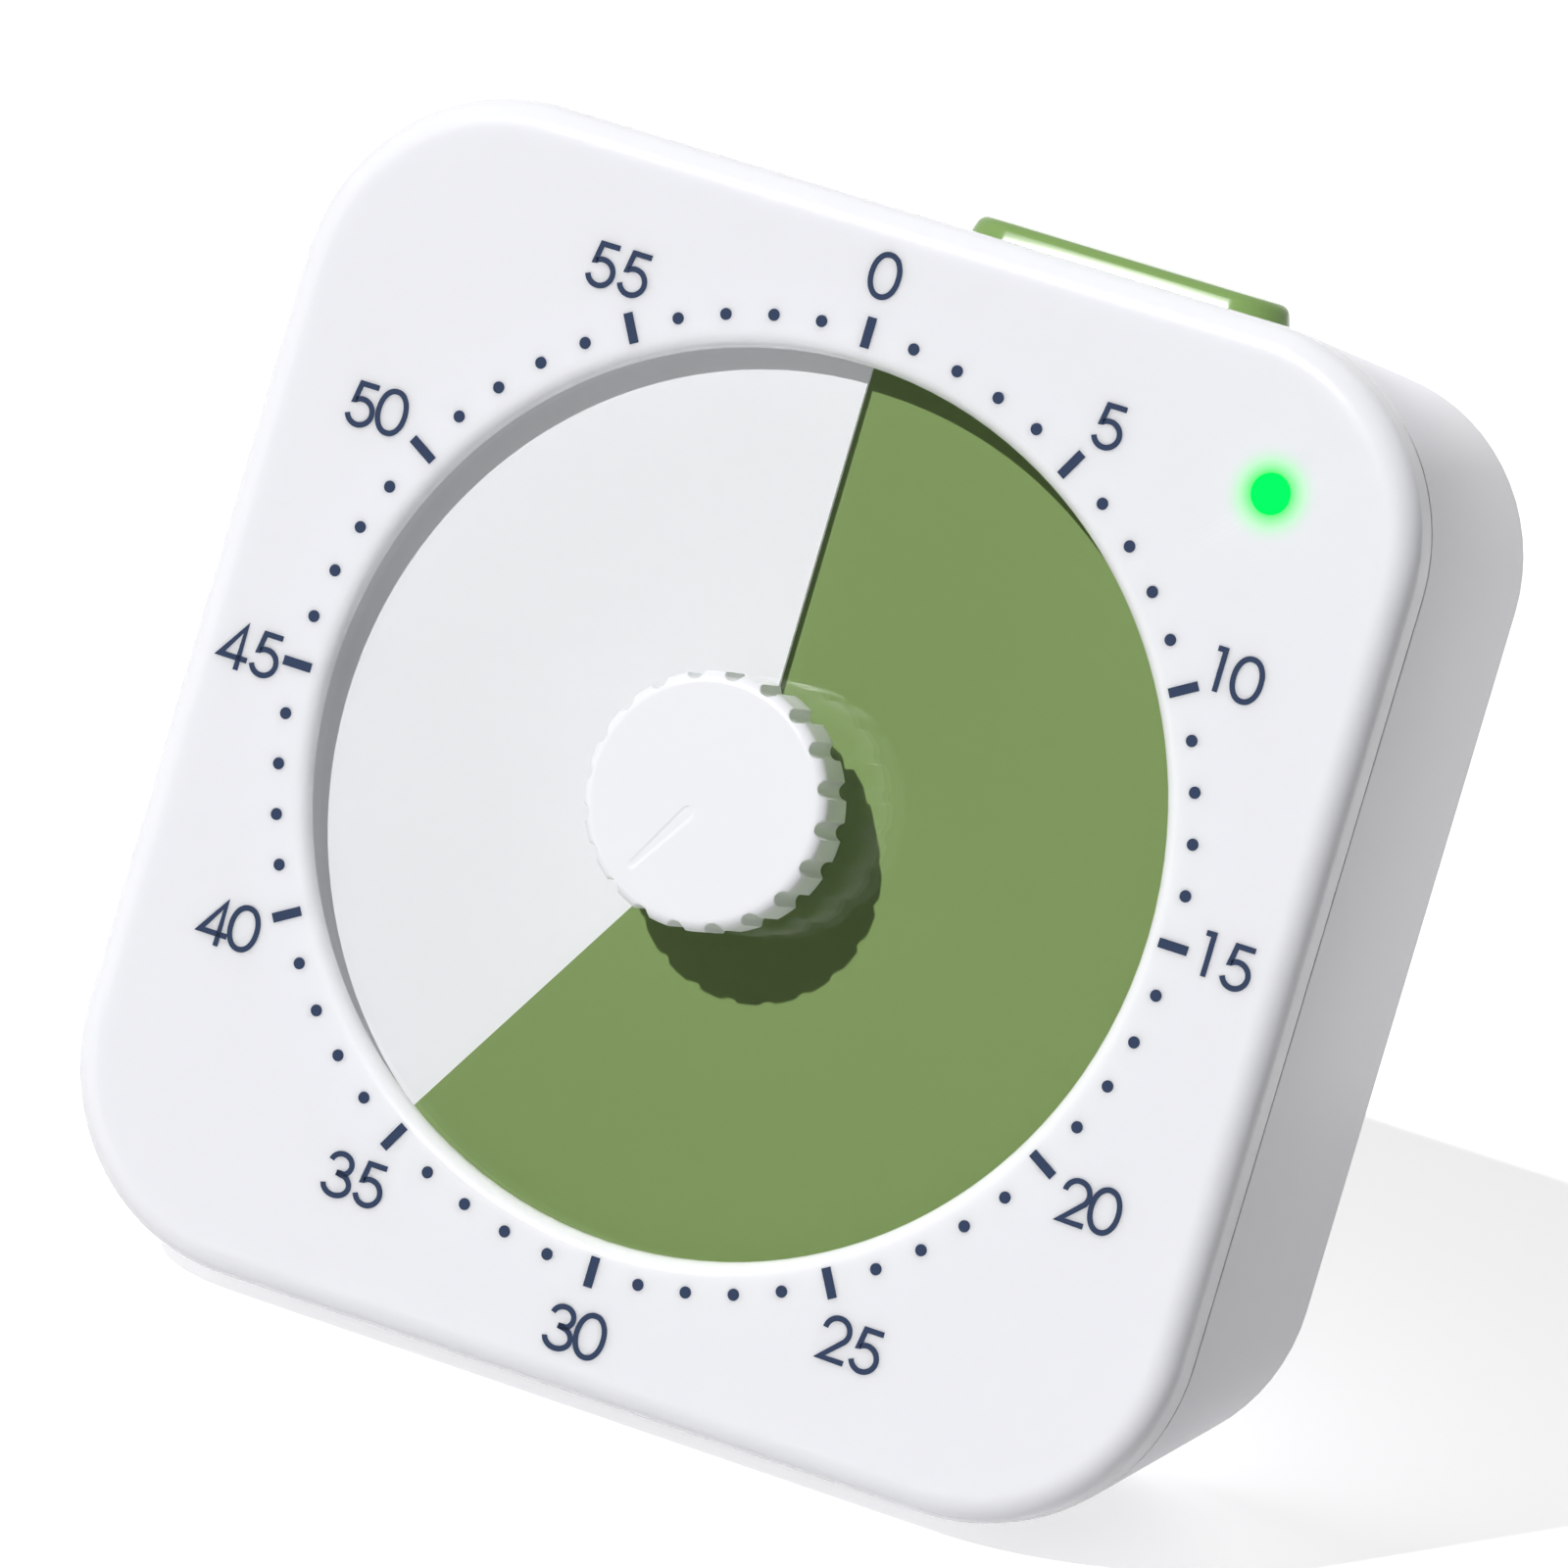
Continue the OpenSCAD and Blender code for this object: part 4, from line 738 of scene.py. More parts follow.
def ribbon(points, width, height, closed=False):
    """A flat stroke of even width with mitred corners, as a thin solid."""
    line = [points[0]]
    for p in points[1:]:
        if dist(p, line[-1]) > width * SHORTEST_STEP:
            line.append(p)
    if closed and dist(line[0], line[-1]) < width * CLOSING_GAP:
        line.pop()
    count = len(line)
    verts, faces = [], []
    for i, (x, y) in enumerate(line):
        before = line[i - 1] if closed or i > 0 else None
        after = line[(i + 1) % count] if closed or i < count - 1 else None
        ways = []
        for a, b in ((before, (x, y)), ((x, y), after)):
            if a is not None and b is not None:
                d = dist(a, b)
                ways.append(((b[0] - a[0]) / d, (b[1] - a[1]) / d))
        tx, ty = sum(way[0] for way in ways), sum(way[1] for way in ways)
        size = hypot(tx, ty)
        nx, ny = -ty / size, tx / size
        half = width / 2 / max(nx * -ways[0][1] + ny * ways[0][0], MITRE_LIMIT)
        left, right = (x + nx * half, y + ny * half), (x - nx * half, y - ny * half)
        verts += [(*left, 0), (*right, 0), (*right, height), (*left, height)]
    for i in range(count if closed else count - 1):
        a, b = 4 * i, 4 * ((i + 1) % count)
        for j in range(4):
            k = (j + 1) % 4
            faces.append((a + j, b + j, b + k, a + k))
    if not closed:
        last = 4 * count
        faces += [(3, 2, 1, 0), (last - 4, last - 3, last - 2, last - 1)]
    return verts, faces


def bar(at, angle, length, width, height):
    """A short radial bar, centred on at."""
    ux, uy = clock(1, angle)
    vx, vy = uy, -ux
    u, v = length / 2, width / 2
    corners = [(-u, -v), (u, -v), (u, v), (-u, v)]
    flat = [(at[0] + a * ux + b * vx, at[1] + a * uy + b * vy) for a, b in corners]
    return loft([[(x, y, z) for x, y in flat] for z in (0, height)])


class TIMER_OT_scale(bpy.types.Operator):
    """Print the dots, the ticks and the figures on the face"""

    bl_idname = "timer.printed_scale"
    bl_label = "Printed scale"

    def execute(self, context):
        s = sizes()
        lift, ring = s.ink_thickness, s.dot_ring_radius
        ink = moulded_plastic(
            "printed ink", finishes().ink_blue, rough=0.55, spread=0.1, mottle=0.12,
            grain=3800.0, depth=0.003, specular=0.15)
        dots, ticks = [], []
        for minute in range(60):
            angle = minute * 6
            at = clock(ring, angle)
            if minute % 5:
                dots.append(post(at, 0, -lift, s.dot_radius, count=28))
            else:
                ticks.append(bar(at, angle, TICK_LENGTH, TICK_WIDTH, lift))
        prints = {"dots": dots, "ticks": ticks}
        shapes = figure_strokes()
        grow = s.figure_height / DRAWN_HEIGHT
        for text, places in FIGURES:
            parts = prints["figure_" + text] = []
            for digit, (u, v) in zip(text, places):
                for stroke in shapes[digit]:
                    line = [(u * ring + x * grow, v * ring + y * grow) for x, y in stroke]
                    parts.append(ribbon(line, s.stroke_width, lift, closed=digit == "0"))
        for name, parts in prints.items():
            new_piece("scale_" + name, joined(parts), ink, "case", smooth_deg=20)
        return {"FINISHED"}


# ---- front cover ----

COVER_WALL = 2.5 * MM
INNER_BEVEL = 0.8 * MM
RIB = ((58.3, 2.0), (58.3, 6.7), (59.8, 6.7), (59.8, 2.0))  # radius and depth in millimetres
POST_FOOT, POST_RADIUS = 1.9 * MM, 3.5 * MM
CUP_POST_RING, CUP_POST_ANGLES = 63.5 * MM, (30, 150, 210, 330)
CUP_POST_END, CUP_SCREW_HOLE = 7 * MM, 0.95 * MM
CASE_POST_X, CASE_POST_Y = 59, 38
CASE_POST_END, CASE_SCREW_HOLE = 16 * MM, 1.2 * MM
LIGHT_POST_RING, LIGHT_POST_END, LIGHT_POST_RADIUS = 6 * MM, 8.5 * MM, 1.8 * MM
LIGHT_PIN_START, LIGHT_PIN_END, LIGHT_PIN_RADIUS = 8.4 * MM, 10.7 * MM, 0.8 * MM
LIGHT_HOLE_RADIUS = 2.4 * MM


def cover_shell():
    """The cover's shell, from the side's rear edge over the face and back behind it."""
    s = sizes()
    half, depth, back = s.case_width / 2, s.cover_depth, s.face_thickness
    corner, inside = half - s.corner_radius, half - COVER_WALL
    r, w, q = s.face_rounding, s.window_radius, s.window_rounding

    def squares(pairs):
        return [square_ring(h, h - corner, d) for h, d in pairs]

    side = [
        (inside, depth - 0.2 * MM), (inside + 0.2 * MM, depth), (half - 0.25 * MM, depth),
        (half - 0.07 * MM, depth - 0.07 * MM), (half, depth - 0.25 * MM)]
    side += [(half - r * (1 - cos(a)), r * (1 - sin(a))) for a in quarter(12)]
    outer = squares(side + [(half - r - 0.6 * MM, 0)])
    window = [(w + q + 0.5 * MM, 0)]
    window += [(w + q * (1 - sin(a)), q * (1 - cos(a))) for a in quarter(6)]
    window += [(w, back - 0.1 * MM), (w + 0.1 * MM, back)]
    window += [(radius * MM, d * MM) for radius, d in RIB]
    circles = [circle_like(outer[-1], radius, d) for radius, d in window]
    inner = squares([(inside - INNER_BEVEL, back), (inside, back + INNER_BEVEL)])
    return loft(outer + circles + inner, closed=True)


def cover_posts():
    """Posts behind the face for the dial cup, the rear housing and the light's board."""
    posts = [
        post(clock(CUP_POST_RING, a), POST_FOOT, CUP_POST_END, POST_RADIUS, CUP_SCREW_HOLE)
        for a in CUP_POST_ANGLES]
    for x in (-CASE_POST_X, CASE_POST_X):
        for y in (-CASE_POST_Y, CASE_POST_Y):
            at = (x * MM, y * MM)
            posts.append(post(at, POST_FOOT, CASE_POST_END, POST_RADIUS, CASE_SCREW_HOLE))
    for side in (-1, 1):
        c = LIGHT_POST_RING * side * cos(radians(45))
        at = (light_place.x + c, light_place.y - c)
        posts.append(post(at, POST_FOOT, LIGHT_POST_END, LIGHT_POST_RADIUS))
        posts.append(post(at, LIGHT_PIN_START, LIGHT_PIN_END, LIGHT_PIN_RADIUS, count=20))
    return posts


class TIMER_OT_front_cover(bpy.types.Operator):
    """Shape the front cover with its rounded edge and round window"""

    bl_idname = "timer.front_cover"
    bl_label = "Front cover"

    def execute(self, context):
        white = face_plastic()
        shape = joined([cover_shell()] + cover_posts())
        cover = new_piece(
            "cover_shell", shape, white, "case", ("front_cover",), 32)
        peg = post((light_place.x, light_place.y), -1 * MM, 4 * MM, LIGHT_HOLE_RADIUS, count=64)
        cut = new_piece("light_hole", peg, white, "case")
        hole = cover.modifiers.new("light hole", "BOOLEAN")
        hole.operation = "DIFFERENCE"
        hole.solver = "EXACT"
        hole.object = cut
        context.view_layer.update()
        graph = context.evaluated_depsgraph_get()
        solid, cover_mesh = cover.data, bpy.data.meshes.new_from_object(cover.evaluated_get(graph))
        cover.modifiers.clear()
        cover.data = cover_mesh
        bpy.data.meshes.remove(solid)
        bpy.data.objects.remove(cut)
        shading = cover.modifiers.new("flat faces", "WEIGHTED_NORMAL")
        shading.keep_sharp = True
        shading.weight = 80
        return {"FINISHED"}


# ---- dial ----

SHEET_THICKNESS, DISC_THICKNESS = 0.5 * MM, 0.4 * MM
SHEET_INNER, SHEET_OUTER = 9.02 * MM, 54.98 * MM
DISC_INNER, DISC_OUTER = 7.54 * MM, 53.98 * MM
RIM_STRIP = 0.3 * MM


def helical_sheet(inner, outer, first, low, pitch, thickness, steps=288):
    """One turn of a sheet that climbs from low at its first angle, with square radial edges."""
    section = [
        (inner, 0), (inner + RIM_STRIP, 0), (outer - RIM_STRIP, 0), (outer, 0),
        (outer, thickness), (inner, thickness)]
    rings = []
    for i in range(steps + 1):
        d = -low - thickness - pitch * i / steps
        rings.append([(*clock(r, first + 360 * i / steps), -(d + t)) for r, t in section])
    return loft(rings)


class TIMER_OT_dial(bpy.types.Operator):
    """Wind the white sheet and the green disc through each other"""

    bl_idname = "timer.dial"
    bl_label = "Dial sheet and disc"

    def execute(self, context):
        f = finishes()
        pitch = sheet_high.z - sheet_low.z - SHEET_THICKNESS
        # The white sheet gets a painted glow, painted light that lifts its shade by the window's
        # edge.
        white = moulded_plastic(
            "dial white", f.dial_white, rough=0.32, spread=0.06, mottle=0.02, grain=1800.0,
            depth=0.001, dust=0.012, painted_glow=0.21)
        green = moulded_plastic(
            "dial green", f.dial_green, rough=0.06, spread=0.03, mottle=0.03, grain=900.0,
            depth=0.0, dust=0.02)
        sheet = helical_sheet(SHEET_INNER, SHEET_OUTER, 0, sheet_low.z, pitch, SHEET_THICKNESS)
        disc = helical_sheet(
            DISC_INNER, DISC_OUTER, sizes().knob_set - 360, disc_low.z, pitch, DISC_THICKNESS)
        new_piece("white_sheet", sheet, white, "case", ("dial_sheet",), 30)
        new_piece("green_disc", disc, green, "disc", ("colour_disc",), 30)
        return {"FINISHED"}


# ---- knob, in millimetres ----

KNOB_WALL, KNOB_LOW = 1.9, 1.6
BORE, HUB, HUB_FOOT = 3.02, 6.0, 0.2
STEPS_PER_FLUTE = 26
RIM_SOFTNESS = 0.05
GROOVE_NEAR, GROOVE_RIM = 2.3, 3.7  # where it starts, and how far from the rim it ends
GROOVE_REACH, GROOVE_TAPER = 1.0, 0.4  # half its width, and what that loses by its far end
GROOVE_SLOPE, GROOVE_SKEW, SKEW_WIDTH = 0.5, 0.3, 0.5


class TIMER_OT_knob(bpy.types.Operator):
    """Shape the fluted knob with its soft pointer groove"""

    bl_idname = "timer.knob"
    bl_label = "Knob"

    def execute(self, context):
        s = sizes()
        radius, notch, edge = s.knob_radius / MM, s.flute_radius / MM, s.knob_rounding / MM
        notch_at = radius + RIM_SOFTNESS
        hollow = notch_at - notch - KNOB_WALL
        count = s.flutes * STEPS_PER_FLUTE
        pointer = s.knob_set
        low, front = KNOB_LOW, knob_high.z / MM
        top = front - KNOB_WALL

        def angle_of(j):
            return pointer + 360 * j / count

        def notched(r, j):
            """r, cut back where a flute passes, with a slightly softened rim."""
            off = (j % STEPS_PER_FLUTE) * 360 / count
            off = radians(min(off, 360 / s.flutes - off))
            side = notch_at * sin(off)
            if abs(side) >= notch:
                return r
            cut = notch_at * cos(off) - sqrt(notch * notch - side * side)
            soft = RIM_SOFTNESS
            blend = held(0.5 + (cut - r) / (2 * soft), 0.0, 1.0)
            return cut * (1 - blend) + r * blend - soft * blend * (1 - blend)

        def placed(r, j, z):
            return tuple(c * MM for c in (*clock(r, angle_of(j)), z))

        def plain_rings(*pairs):
            return [[placed(r, j, z) for j in range(count)] for r, z in pairs]

        def fluted_rings(*pairs):
            return [[placed(notched(r, j), j, z) for j in range(count)] for r, z in pairs]

        def groove(x, y):
            """Depth of the pointer's drop-shaped hollow, steep on one side, soft on the other."""
            ux, uy = clock(1, pointer)
            along, across = x * ux + y * uy, x * uy - y * ux
            far = radius - GROOVE_RIM
            share = held((along - GROOVE_NEAR) / (far - GROOVE_NEAR), 0.0, 1.0)
            off = along - GROOVE_NEAR - (far - GROOVE_NEAR) * share
            inside = GROOVE_REACH - GROOVE_TAPER * share - hypot(off, across)
            slope = GROOVE_SLOPE - GROOVE_SKEW * held(across / SKEW_WIDTH, -1.0, 1.0)
            return s.groove_depth / MM * smooth(inside, 0.0, slope)

        rings = plain_rings(
            (BORE, HUB_FOOT), (5.8, HUB_FOOT), (HUB, 0.4), (HUB, top), (hollow, top),
            (hollow, low + 0.1), (hollow + 0.1, low))
        rings += fluted_rings(
            (radius - 0.3, low), (radius - 0.09, low + 0.09), (radius, low + 0.3),
            (radius, low + 1.6), (radius, low + 3.2))
        rings += fluted_rings(*(
            (radius - edge + edge * cos(a), front - edge + edge * sin(a))
            for a in quarter(12)))
        spans = 44
        for i in range(1, spans):
            r = (radius - edge) * (1 - i / spans)
            row = []
            for j in range(count):
                x, y = clock(r, angle_of(j))
                row.append((x * MM, y * MM, (front - groove(x, y)) * MM))
            rings.append(row)
        cap = loft(rings, open_start=True)
        bore = loft(plain_rings((BORE, HUB_FOOT), (BORE, top)), open_start=True)
        white = moulded_plastic(
            "knob white", finishes().knob_white, rough=0.3, spread=0.06, mottle=0.01,
            grain=2200.0, depth=0.003)
        new_piece(
            "knob_cap", joined([cap, bore]), white, "knob_and_spindle",
            ("knob",), 42)
        return {"FINISHED"}


# ---- top button, in millimetres ----

FLANGE, FLANGE_TOP, FLANGE_LOW = 1.5, 5.959, 7.159  # its reach, and its depths below the top
SIDE_HEIGHT, SIDE_BULGE = 3, 0.02
ROUNDING, CROWN = 1.4, 0.12
DRAFT_DEG = 16.5
STEM_TIP, STEM, STEM_BEVEL = 2.1, 2.4, 0.3


def stadium(length, width, steps=24):
    """Flat outline with round ends, as x and depth pairs about its centre."""
    r = width / 2
    c = length / 2 - r
    turns = [(c, a) for a in np.linspace(-90, 90, steps + 1)]
    turns += [(-c, a) for a in np.linspace(90, 270, steps + 1)]
    return [(x + r * cos(radians(a)), r * sin(radians(a))) for x, a in turns]


class TIMER_OT_button(bpy.types.Operator):
    """Shape the top button with its soft edge and slight crown"""

    bl_idname = "timer.button"
    bl_label = "Top button"

    def execute(self, context):
        centre = (button_low + button_high) / 2 / MM
        length = (button_high.x - button_low.x) / MM - 2 * FLANGE
        width = (button_high.z - button_low.z) / MM - 2 * FLANGE
        top = button_high.y / MM
        flange_top, flange_low = top - FLANGE_TOP, top - FLANGE_LOW
        draft = radians(DRAFT_DEG)

        def placed(outline, height):
            return [((centre.x + x) * MM, height * MM, -(-centre.z + d) * MM) for x, d in outline]

        def ring(shrink, height, grow=0.0):
            sides = (side - 2 * shrink + 2 * grow for side in (length, width))
            return placed(stadium(*sides), height)

        rings = [
            ring(0, flange_low, FLANGE), ring(0, flange_top - 0.15, FLANGE),
            ring(0, flange_top, FLANGE - 0.15), ring(0, flange_top, 0.1),
            ring(0, flange_top + 0.15)]
        shoulder = top - CROWN - ROUNDING
        side_low = top - SIDE_HEIGHT
        rise = shoulder + ROUNDING * sin(draft) - side_low
        for i in range(6):
            share = i / 5
            bulge = SIDE_BULGE * sin(pi * share)
            rings.append(ring(rise * share * tan(draft) - bulge, side_low + rise * share))
        inset = rise * tan(draft) + ROUNDING * cos(draft)
        steps = 14
        for i in range(1, steps + 1):
            a = radians(DRAFT_DEG + (90 - DRAFT_DEG) * i / steps)
            rings.append(ring(inset - ROUNDING * cos(a), shoulder + ROUNDING * sin(a)))
        for i in range(1, 9):
            share = i / 8
            shrink = inset + (width / 2 - inset) * share * 0.96
            rings.append(ring(shrink, top - CROWN * (1 - share) ** 2))
        stem_low = button_low.y / MM
        stem = ((STEM_TIP, stem_low), (STEM, stem_low + STEM_BEVEL), (STEM, flange_low + 0.2))
        stem_rings = []
        for r, height in stem:
            turns = [2 * pi * i / 32 for i in range(32)]
            outline = [(r * cos(a), -r * sin(a)) for a in turns]
            stem_rings.append(placed(outline, height))
        green = moulded_plastic(
            "button green", finishes().button_green, rough=0.14, spread=0.05, mottle=0.03,
            grain=1700.0, depth=0.002, specular=0.22)
        new_piece(
            "button_cap", joined([loft(rings), loft(stem_rings)]), green, "button",
            ("top_button",), 40)
        return {"FINISHED"}


# ---- carried-over pieces ----


def dress(material, *nodes):
    """Finish construction nodes that are shown as they are, and smooth their gentle bends."""
    for name in nodes:
        piece = frame["nodes"][name]
        piece.data.materials.clear()
        piece.data.materials.append(material)
        smoothing = piece.modifiers.new("smooth gentle bends", "NODES")
        smoothing.node_group = shared_group("smooth gentle bends")


class TIMER_OT_case(bpy.types.Operator):
    """Finish the housing, the door, the base pad and the outer hardware"""

    bl_idname = "timer.case"
    bl_label = "Case"

    def execute(self, context):
        white = moulded_plastic(
            "housing white", finishes().case_white, rough=0.36, spread=0.06, mottle=0.012,
            grain=2400.0, depth=0.004, edge=0.25 * MM, specular=0.2)
        grey = moulded_plastic(
            "slider grey", (0.06, 0.062, 0.066), rough=0.42, mottle=0.05, edge=0.12 * MM)
        dress(white, "rear_housing", "battery_door")
        dress(pad_rubber(), "base_pad")
        dress(grey, "volume_slider")
        dress(clear_acrylic(), "lens")
        dress(glowing_pipe(), "light_pipe")
        dress(
            plated_steel(), "case_screws", "cup_screws", "movement_screws", "switch_screws",
            "board_screws")
        return {"FINISHED"}


class TIMER_OT_movement(bpy.types.Operator):
    """Finish the dial cup, the movement and the wheel train"""

    bl_idname = "timer.movement"
    bl_label = "Movement"

    def execute(self, context):
        cup = moulded_plastic("cup white", (0.84, 0.845, 0.86), rough=0.4, mottle=0.02)
        ivory = moulded_plastic(
            "inner ivory", (0.72, 0.71, 0.66), rough=0.45, mottle=0.04, edge=0.12 * MM)
        acetal = moulded_plastic(
            "gear acetal", (0.78, 0.74, 0.60), rough=0.33, mottle=0.05, edge=0.05 * MM)
        magnet = plated_steel("rotor magnet", (0.16, 0.16, 0.17), 0.45, (900.0, 900.0, 900.0), 0.6)
        stamped = plated_steel("stamped steel", (0.50, 0.51, 0.52), 0.38, (1400.0, 200.0, 1400.0))
        dress(cup, "dial_cup")
        dress(ivory, "movement_base", "movement_cover", "disc_hub")
        dress(acetal, "spindle", "minute_wheel", "third_wheel", "fourth_wheel")
        dress(magnet, "step_rotor")
        dress(plated_steel(), "clutch_spring", "spindle_clips")
        dress(stamped, "stator", "coil_core")
        dress(black_plastic(), "coil_bobbin")
        dress(wound_copper(), "coil_winding")
        return {"FINISHED"}


COIL_TURNS, STEPS_PER_TURN = 4, 24
COIL_WIRE, WIRE_SIDES = 0.3 * MM, 10  # radius of the wire


def button_coils(material):
    """The two springs under the top button, built at their rest height; the real ones shorten as it
    goes down.
    """
    low, high = face_box("button_springs")
    outer, wire = (high.z - low.z) / 2, COIL_WIRE
    height, depth = high.y - low.y, (low.z + high.z) / 2
    steps = STEPS_PER_TURN * COIL_TURNS
    coils = []
    for x in (low.x + outer, high.x - outer):
        rings = []
        for i in range(steps + 1):
            a = radians(360 / STEPS_PER_TURN * i)
            rise = low.y + wire + (height - 2 * wire) * smooth(i / steps, -0.12, 1.12)
            ring = []
            for j in range(WIRE_SIDES):
                b = radians(360 / WIRE_SIDES * j)
                r = outer - wire + wire * cos(b)
                ring.append((x + r * cos(a), rise + wire * sin(b), depth + r * sin(a)))
            rings.append(ring)
        coils.append(loft(rings))
    piece = new_piece(
        "button_coils", joined(coils), material, "case", ("button_springs",), 50)
    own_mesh(piece)


LEAD_COLOURS = {
    "battery_leads": (0.42, 0.012, 0.012),
    "motor_leads": (0.015, 0.05, 0.32),
    "switch_leads": (0.62, 0.42, 0.015),
    "light_leads": (0.015, 0.26, 0.05),
}


class TIMER_OT_electrics(bpy.types.Operator):
    """Finish the boards, the switches, the sounder, the cells and the leads"""

    bl_idname = "timer.electrics"
    bl_label = "Boards, cells and leads"

    def execute(self, context):
        wire = plated_steel("spring wire", (0.66, 0.67, 0.69), 0.22, (800.0, 800.0, 800.0))
        diode = moulded_plastic("diode case", (0.85, 0.80, 0.45), rough=0.2, mottle=0.05)
        dress(circuit_mask(), "main_board", "switch_board", "led_board")
        dress(black_plastic(), "board_components", "buzzer", "tact_switch", "switch_plunger")
        dress(diode, "status_led")
        dress(plated_steel(), "volume_switch")
        dress(wire, "contact_springs", "contact_plates")
        button_coils(wire)
        dress(cell_sleeve(), "battery_cells")
        for name, colour in LEAD_COLOURS.items():
            sheath = moulded_plastic(
                name.replace("_", " "), colour, rough=0.4, mottle=0.06, grain=900.0)
            dress(sheath, name)
        return {"FINISHED"}


# ---- stage ----

FLOOR_DROP = 0.2 * MM
CARD_RAYS_OFF = ("camera", "diffuse", "shadow", "volume_scatter")


def lamp(name, direction, strength, angle_deg, gloss=True, gloss_for=()):
    """A distant lamp: a full one, one without gloss, or one that only the gloss of the named
    pieces shows. Its direction is in the face frame."""
    light = bpy.data.lights.new(name, "SUN")
    light.energy = strength
    light.angle = radians(angle_deg)
    holder = bpy.data.objects.new(name, light)
    holder.visible_glossy = gloss
    if gloss_for:
        holder.visible_diffuse = False
        lit = bpy.data.collections.new(name + " lights")
        holder.light_linking.receiver_collection = lit
        for piece in gloss_for:
            lit.objects.link(bpy.data.objects[piece])
    bpy.context.scene.collection.objects.link(holder)
    aim = face_frame.to_3x3() @ Vector(direction)
    holder.rotation_euler = aim.to_track_quat("Z", "Y").to_euler()


def seen_directly(tree):
    """One for rays that show the surroundings themselves, zero for those that light the object."""
    path = new_node(tree, "LightPath").outputs
    either = maths("MAXIMUM", path["Is Camera Ray"], path["Is Glossy Ray"])
    return maths("MAXIMUM", either, path["Is Transmission Ray"])


@cached
def pale_floor(tree, shader):
    """White floor that keeps shadows; what it throws back at the object is held down."""
    specks = ramp(noise(tree, 3.0, 2.0), 0.2, 0.8, 0.995, 1.005)
    give(
        shader, Base_Color=tinted((0.93, 0.93, 0.935), specks), Roughness=0.9,
        Specular_IOR_Level=0.0, Emission_Color=(1, 1, 1, 1),
        Emission_Strength=stage().floor_lift)
    dull = give(new_node(tree, "BsdfDiffuse"), Color=(0.36, 0.36, 0.36, 1))
    mix_shaders(seen_directly(tree), dull, shader)


@cached
def dark_felt(tree, shader):
    shown = tinted((0.02, 0.02, 0.02), ramp(noise(tree, 90.0), 0.2, 0.8, 0.8, 1.2))
    give(shader, Base_Color=shown, Roughness=1.0, Specular_IOR_Level=0.0)


def stage_sheet(name, points, material):
    """One flat face that belongs to the stage."""
    mesh = bpy.data.meshes.new(name)
    mesh.from_pydata(points, [], [tuple(range(len(points)))])
    mesh.materials.append(material)
    sheet = bpy.data.objects.new(name, mesh)
    bpy.context.scene.collection.objects.link(sheet)
    return sheet


def dark_card():
    """A dark card across the room, for reflections alone, so that the lens stays clear."""
    s = stage()
    aim = Vector(s.card_direction).normalized()
    centre = face_origin + aim * s.card_distance
    side = aim.cross(Vector((0, 0, 1))).normalized()
    rise = side.cross(aim)
    half = s.card_size / 2
    corners = ((-1, -1), (1, -1), (1, 1), (-1, 1))
    points = [centre + side * x * half + rise * y * half for x, y in corners]
    card = stage_sheet("dark_card", points, dark_felt())
    for ray in CARD_RAYS_OFF:
        setattr(card, "visible_" + ray, False)


def set_world(level):
    """A room that looks white and lights the object at the given level."""
    world = bpy.context.scene.world = bpy.data.worlds.new("studio room")
    world.use_nodes = True
    tree = world.node_tree
    strength = ramp(seen_directly(tree), 0.0, 1.0, level, 1.0)
    give(tree.nodes["Background"], Color=(1, 1, 1, 1), Strength=strength)


def set_camera():
    s = stage()
    lens = bpy.data.cameras.new("camera")
    lens.lens = s.focal_length
    lens.sensor_width = 36
    lens.clip_start = 0.05
    lens.clip_end = 50
    camera = bpy.data.objects.new("camera", lens)
    bpy.context.scene.collection.objects.link(camera)
    turn = face_frame.to_3x3()
    right = (turn @ Vector(s.camera_right)).normalized()
    down = (turn @ Vector(s.camera_down)).normalized()
    back = right.cross(-down).normalized()
    axes = Matrix((right, back.cross(right), back)).transposed()
    camera.matrix_world = Matrix.Translation(face_frame @ Vector(s.camera_place)) @ axes.to_4x4()
    bpy.context.scene.camera = camera


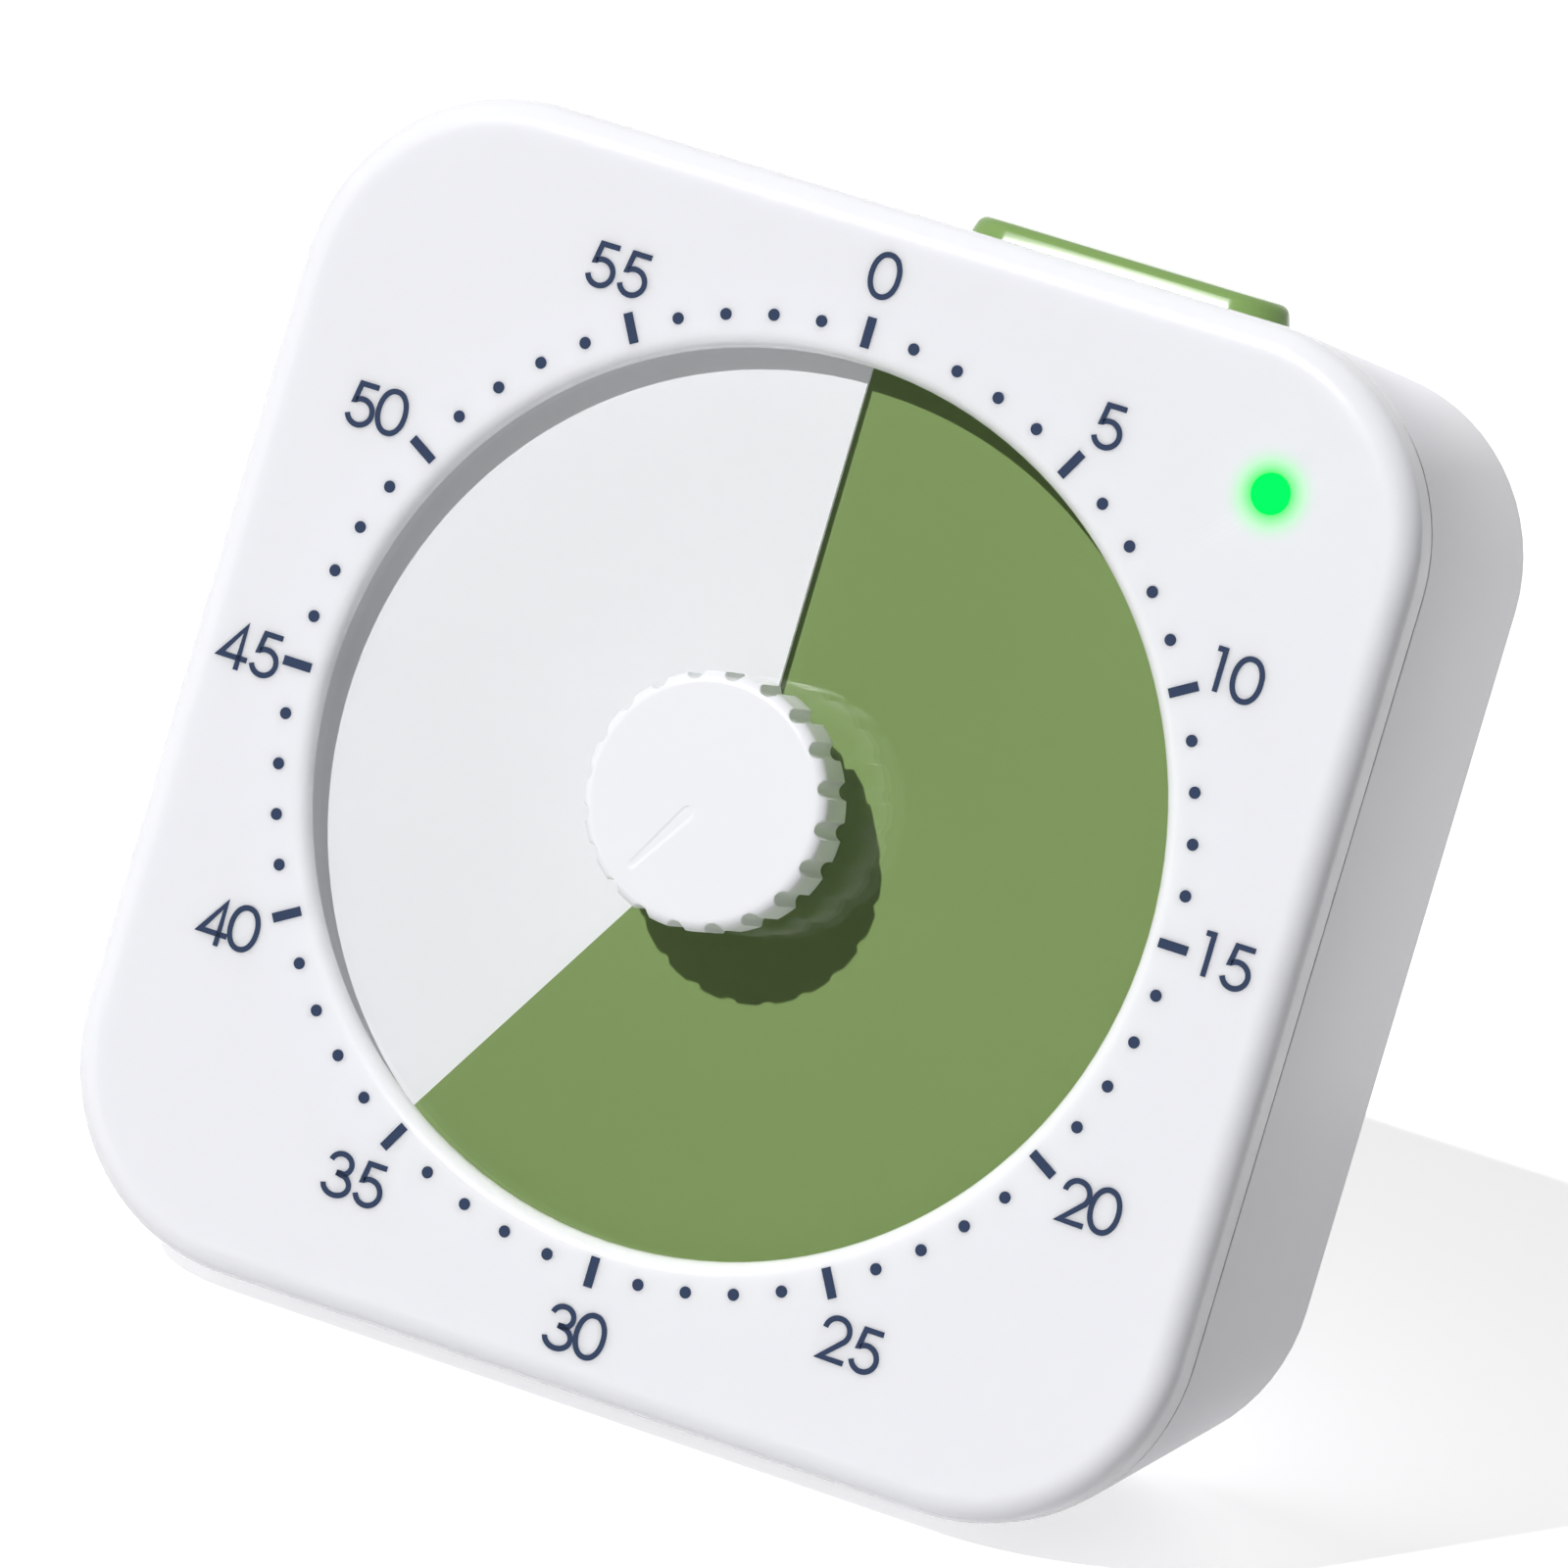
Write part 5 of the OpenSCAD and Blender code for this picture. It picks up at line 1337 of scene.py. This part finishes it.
class TIMER_OT_stage(bpy.types.Operator):
    """Set the floor, the lamps, the room and the camera"""

    bl_idname = "timer.stage"
    bl_label = "Stage"

    def execute(self, context):
        s = stage()
        context.scene.view_settings.view_transform = "Standard"
        floor = stage_sheet("studio_floor", round_ring(s.floor_radius, FLOOR_DROP), pale_floor())
        floor.visible_shadow = False
        dark_card()
        lamp("key_lamp", s.key_direction, s.key_strength, s.key_angle)
        lamp("side_lamp", (0.62, -0.76, 0.16), s.side_strength, 60)
        lamp("back_lamp", (-0.30, 0.15, -0.94), s.back_strength, 50, gloss=False)
        lamp("top_lamp", (0.22, 0.80, -0.56), s.top_strength, 50, gloss=False)
        lamp("under_lamp", (-0.25, -0.90, 0.12), s.under_strength, 60)
        lamp(
            "streak_lamp", (-0.345, 0.454, 0.822), s.streak_strength, 5,
            gloss_for=("button_cap",))
        set_world(s.room_level)
        set_camera()
        return {"FINISHED"}


# ---- add-on ----


class TIMER_PT_panel(bpy.types.Panel):
    """The timer's settings and building steps"""

    bl_idname = "TIMER_PT_panel"
    bl_label = "Visual countdown timer"
    bl_space_type = "VIEW_3D"
    bl_region_type = "UI"
    bl_category = "Timer"

    def draw(self, context):
        layout = self.layout
        for settings in (sizes(), finishes(), stage()):
            box = layout.box()
            for name in settings.__annotations__:
                box.prop(settings, name)
        for operator in OPERATORS:
            layout.operator(operator.bl_idname)


OPERATORS = (
    TIMER_OT_front_cover,
    TIMER_OT_scale,
    TIMER_OT_dial,
    TIMER_OT_knob,
    TIMER_OT_button,
    TIMER_OT_case,
    TIMER_OT_movement,
    TIMER_OT_electrics,
    TIMER_OT_stage,
)
CLASSES = (TIMER_PG_sizes, TIMER_PG_finishes, TIMER_PG_stage, *OPERATORS, TIMER_PT_panel)


def register():
    for cls in CLASSES:
        bpy.utils.register_class(cls)
    bpy.types.Scene.timer_sizes = PointerProperty(type=TIMER_PG_sizes)
    bpy.types.Scene.timer_finishes = PointerProperty(type=TIMER_PG_finishes)
    bpy.types.Scene.timer_stage = PointerProperty(type=TIMER_PG_stage)


def unregister():
    del bpy.types.Scene.timer_stage
    del bpy.types.Scene.timer_finishes
    del bpy.types.Scene.timer_sizes
    for cls in reversed(CLASSES):
        bpy.utils.unregister_class(cls)


def main():
    register()
    for operator in OPERATORS:
        group, name = operator.bl_idname.split(".")
        getattr(getattr(bpy.ops, group), name)()
    bpy.context.view_layer.update()


if __name__ == "__main__":
    main()
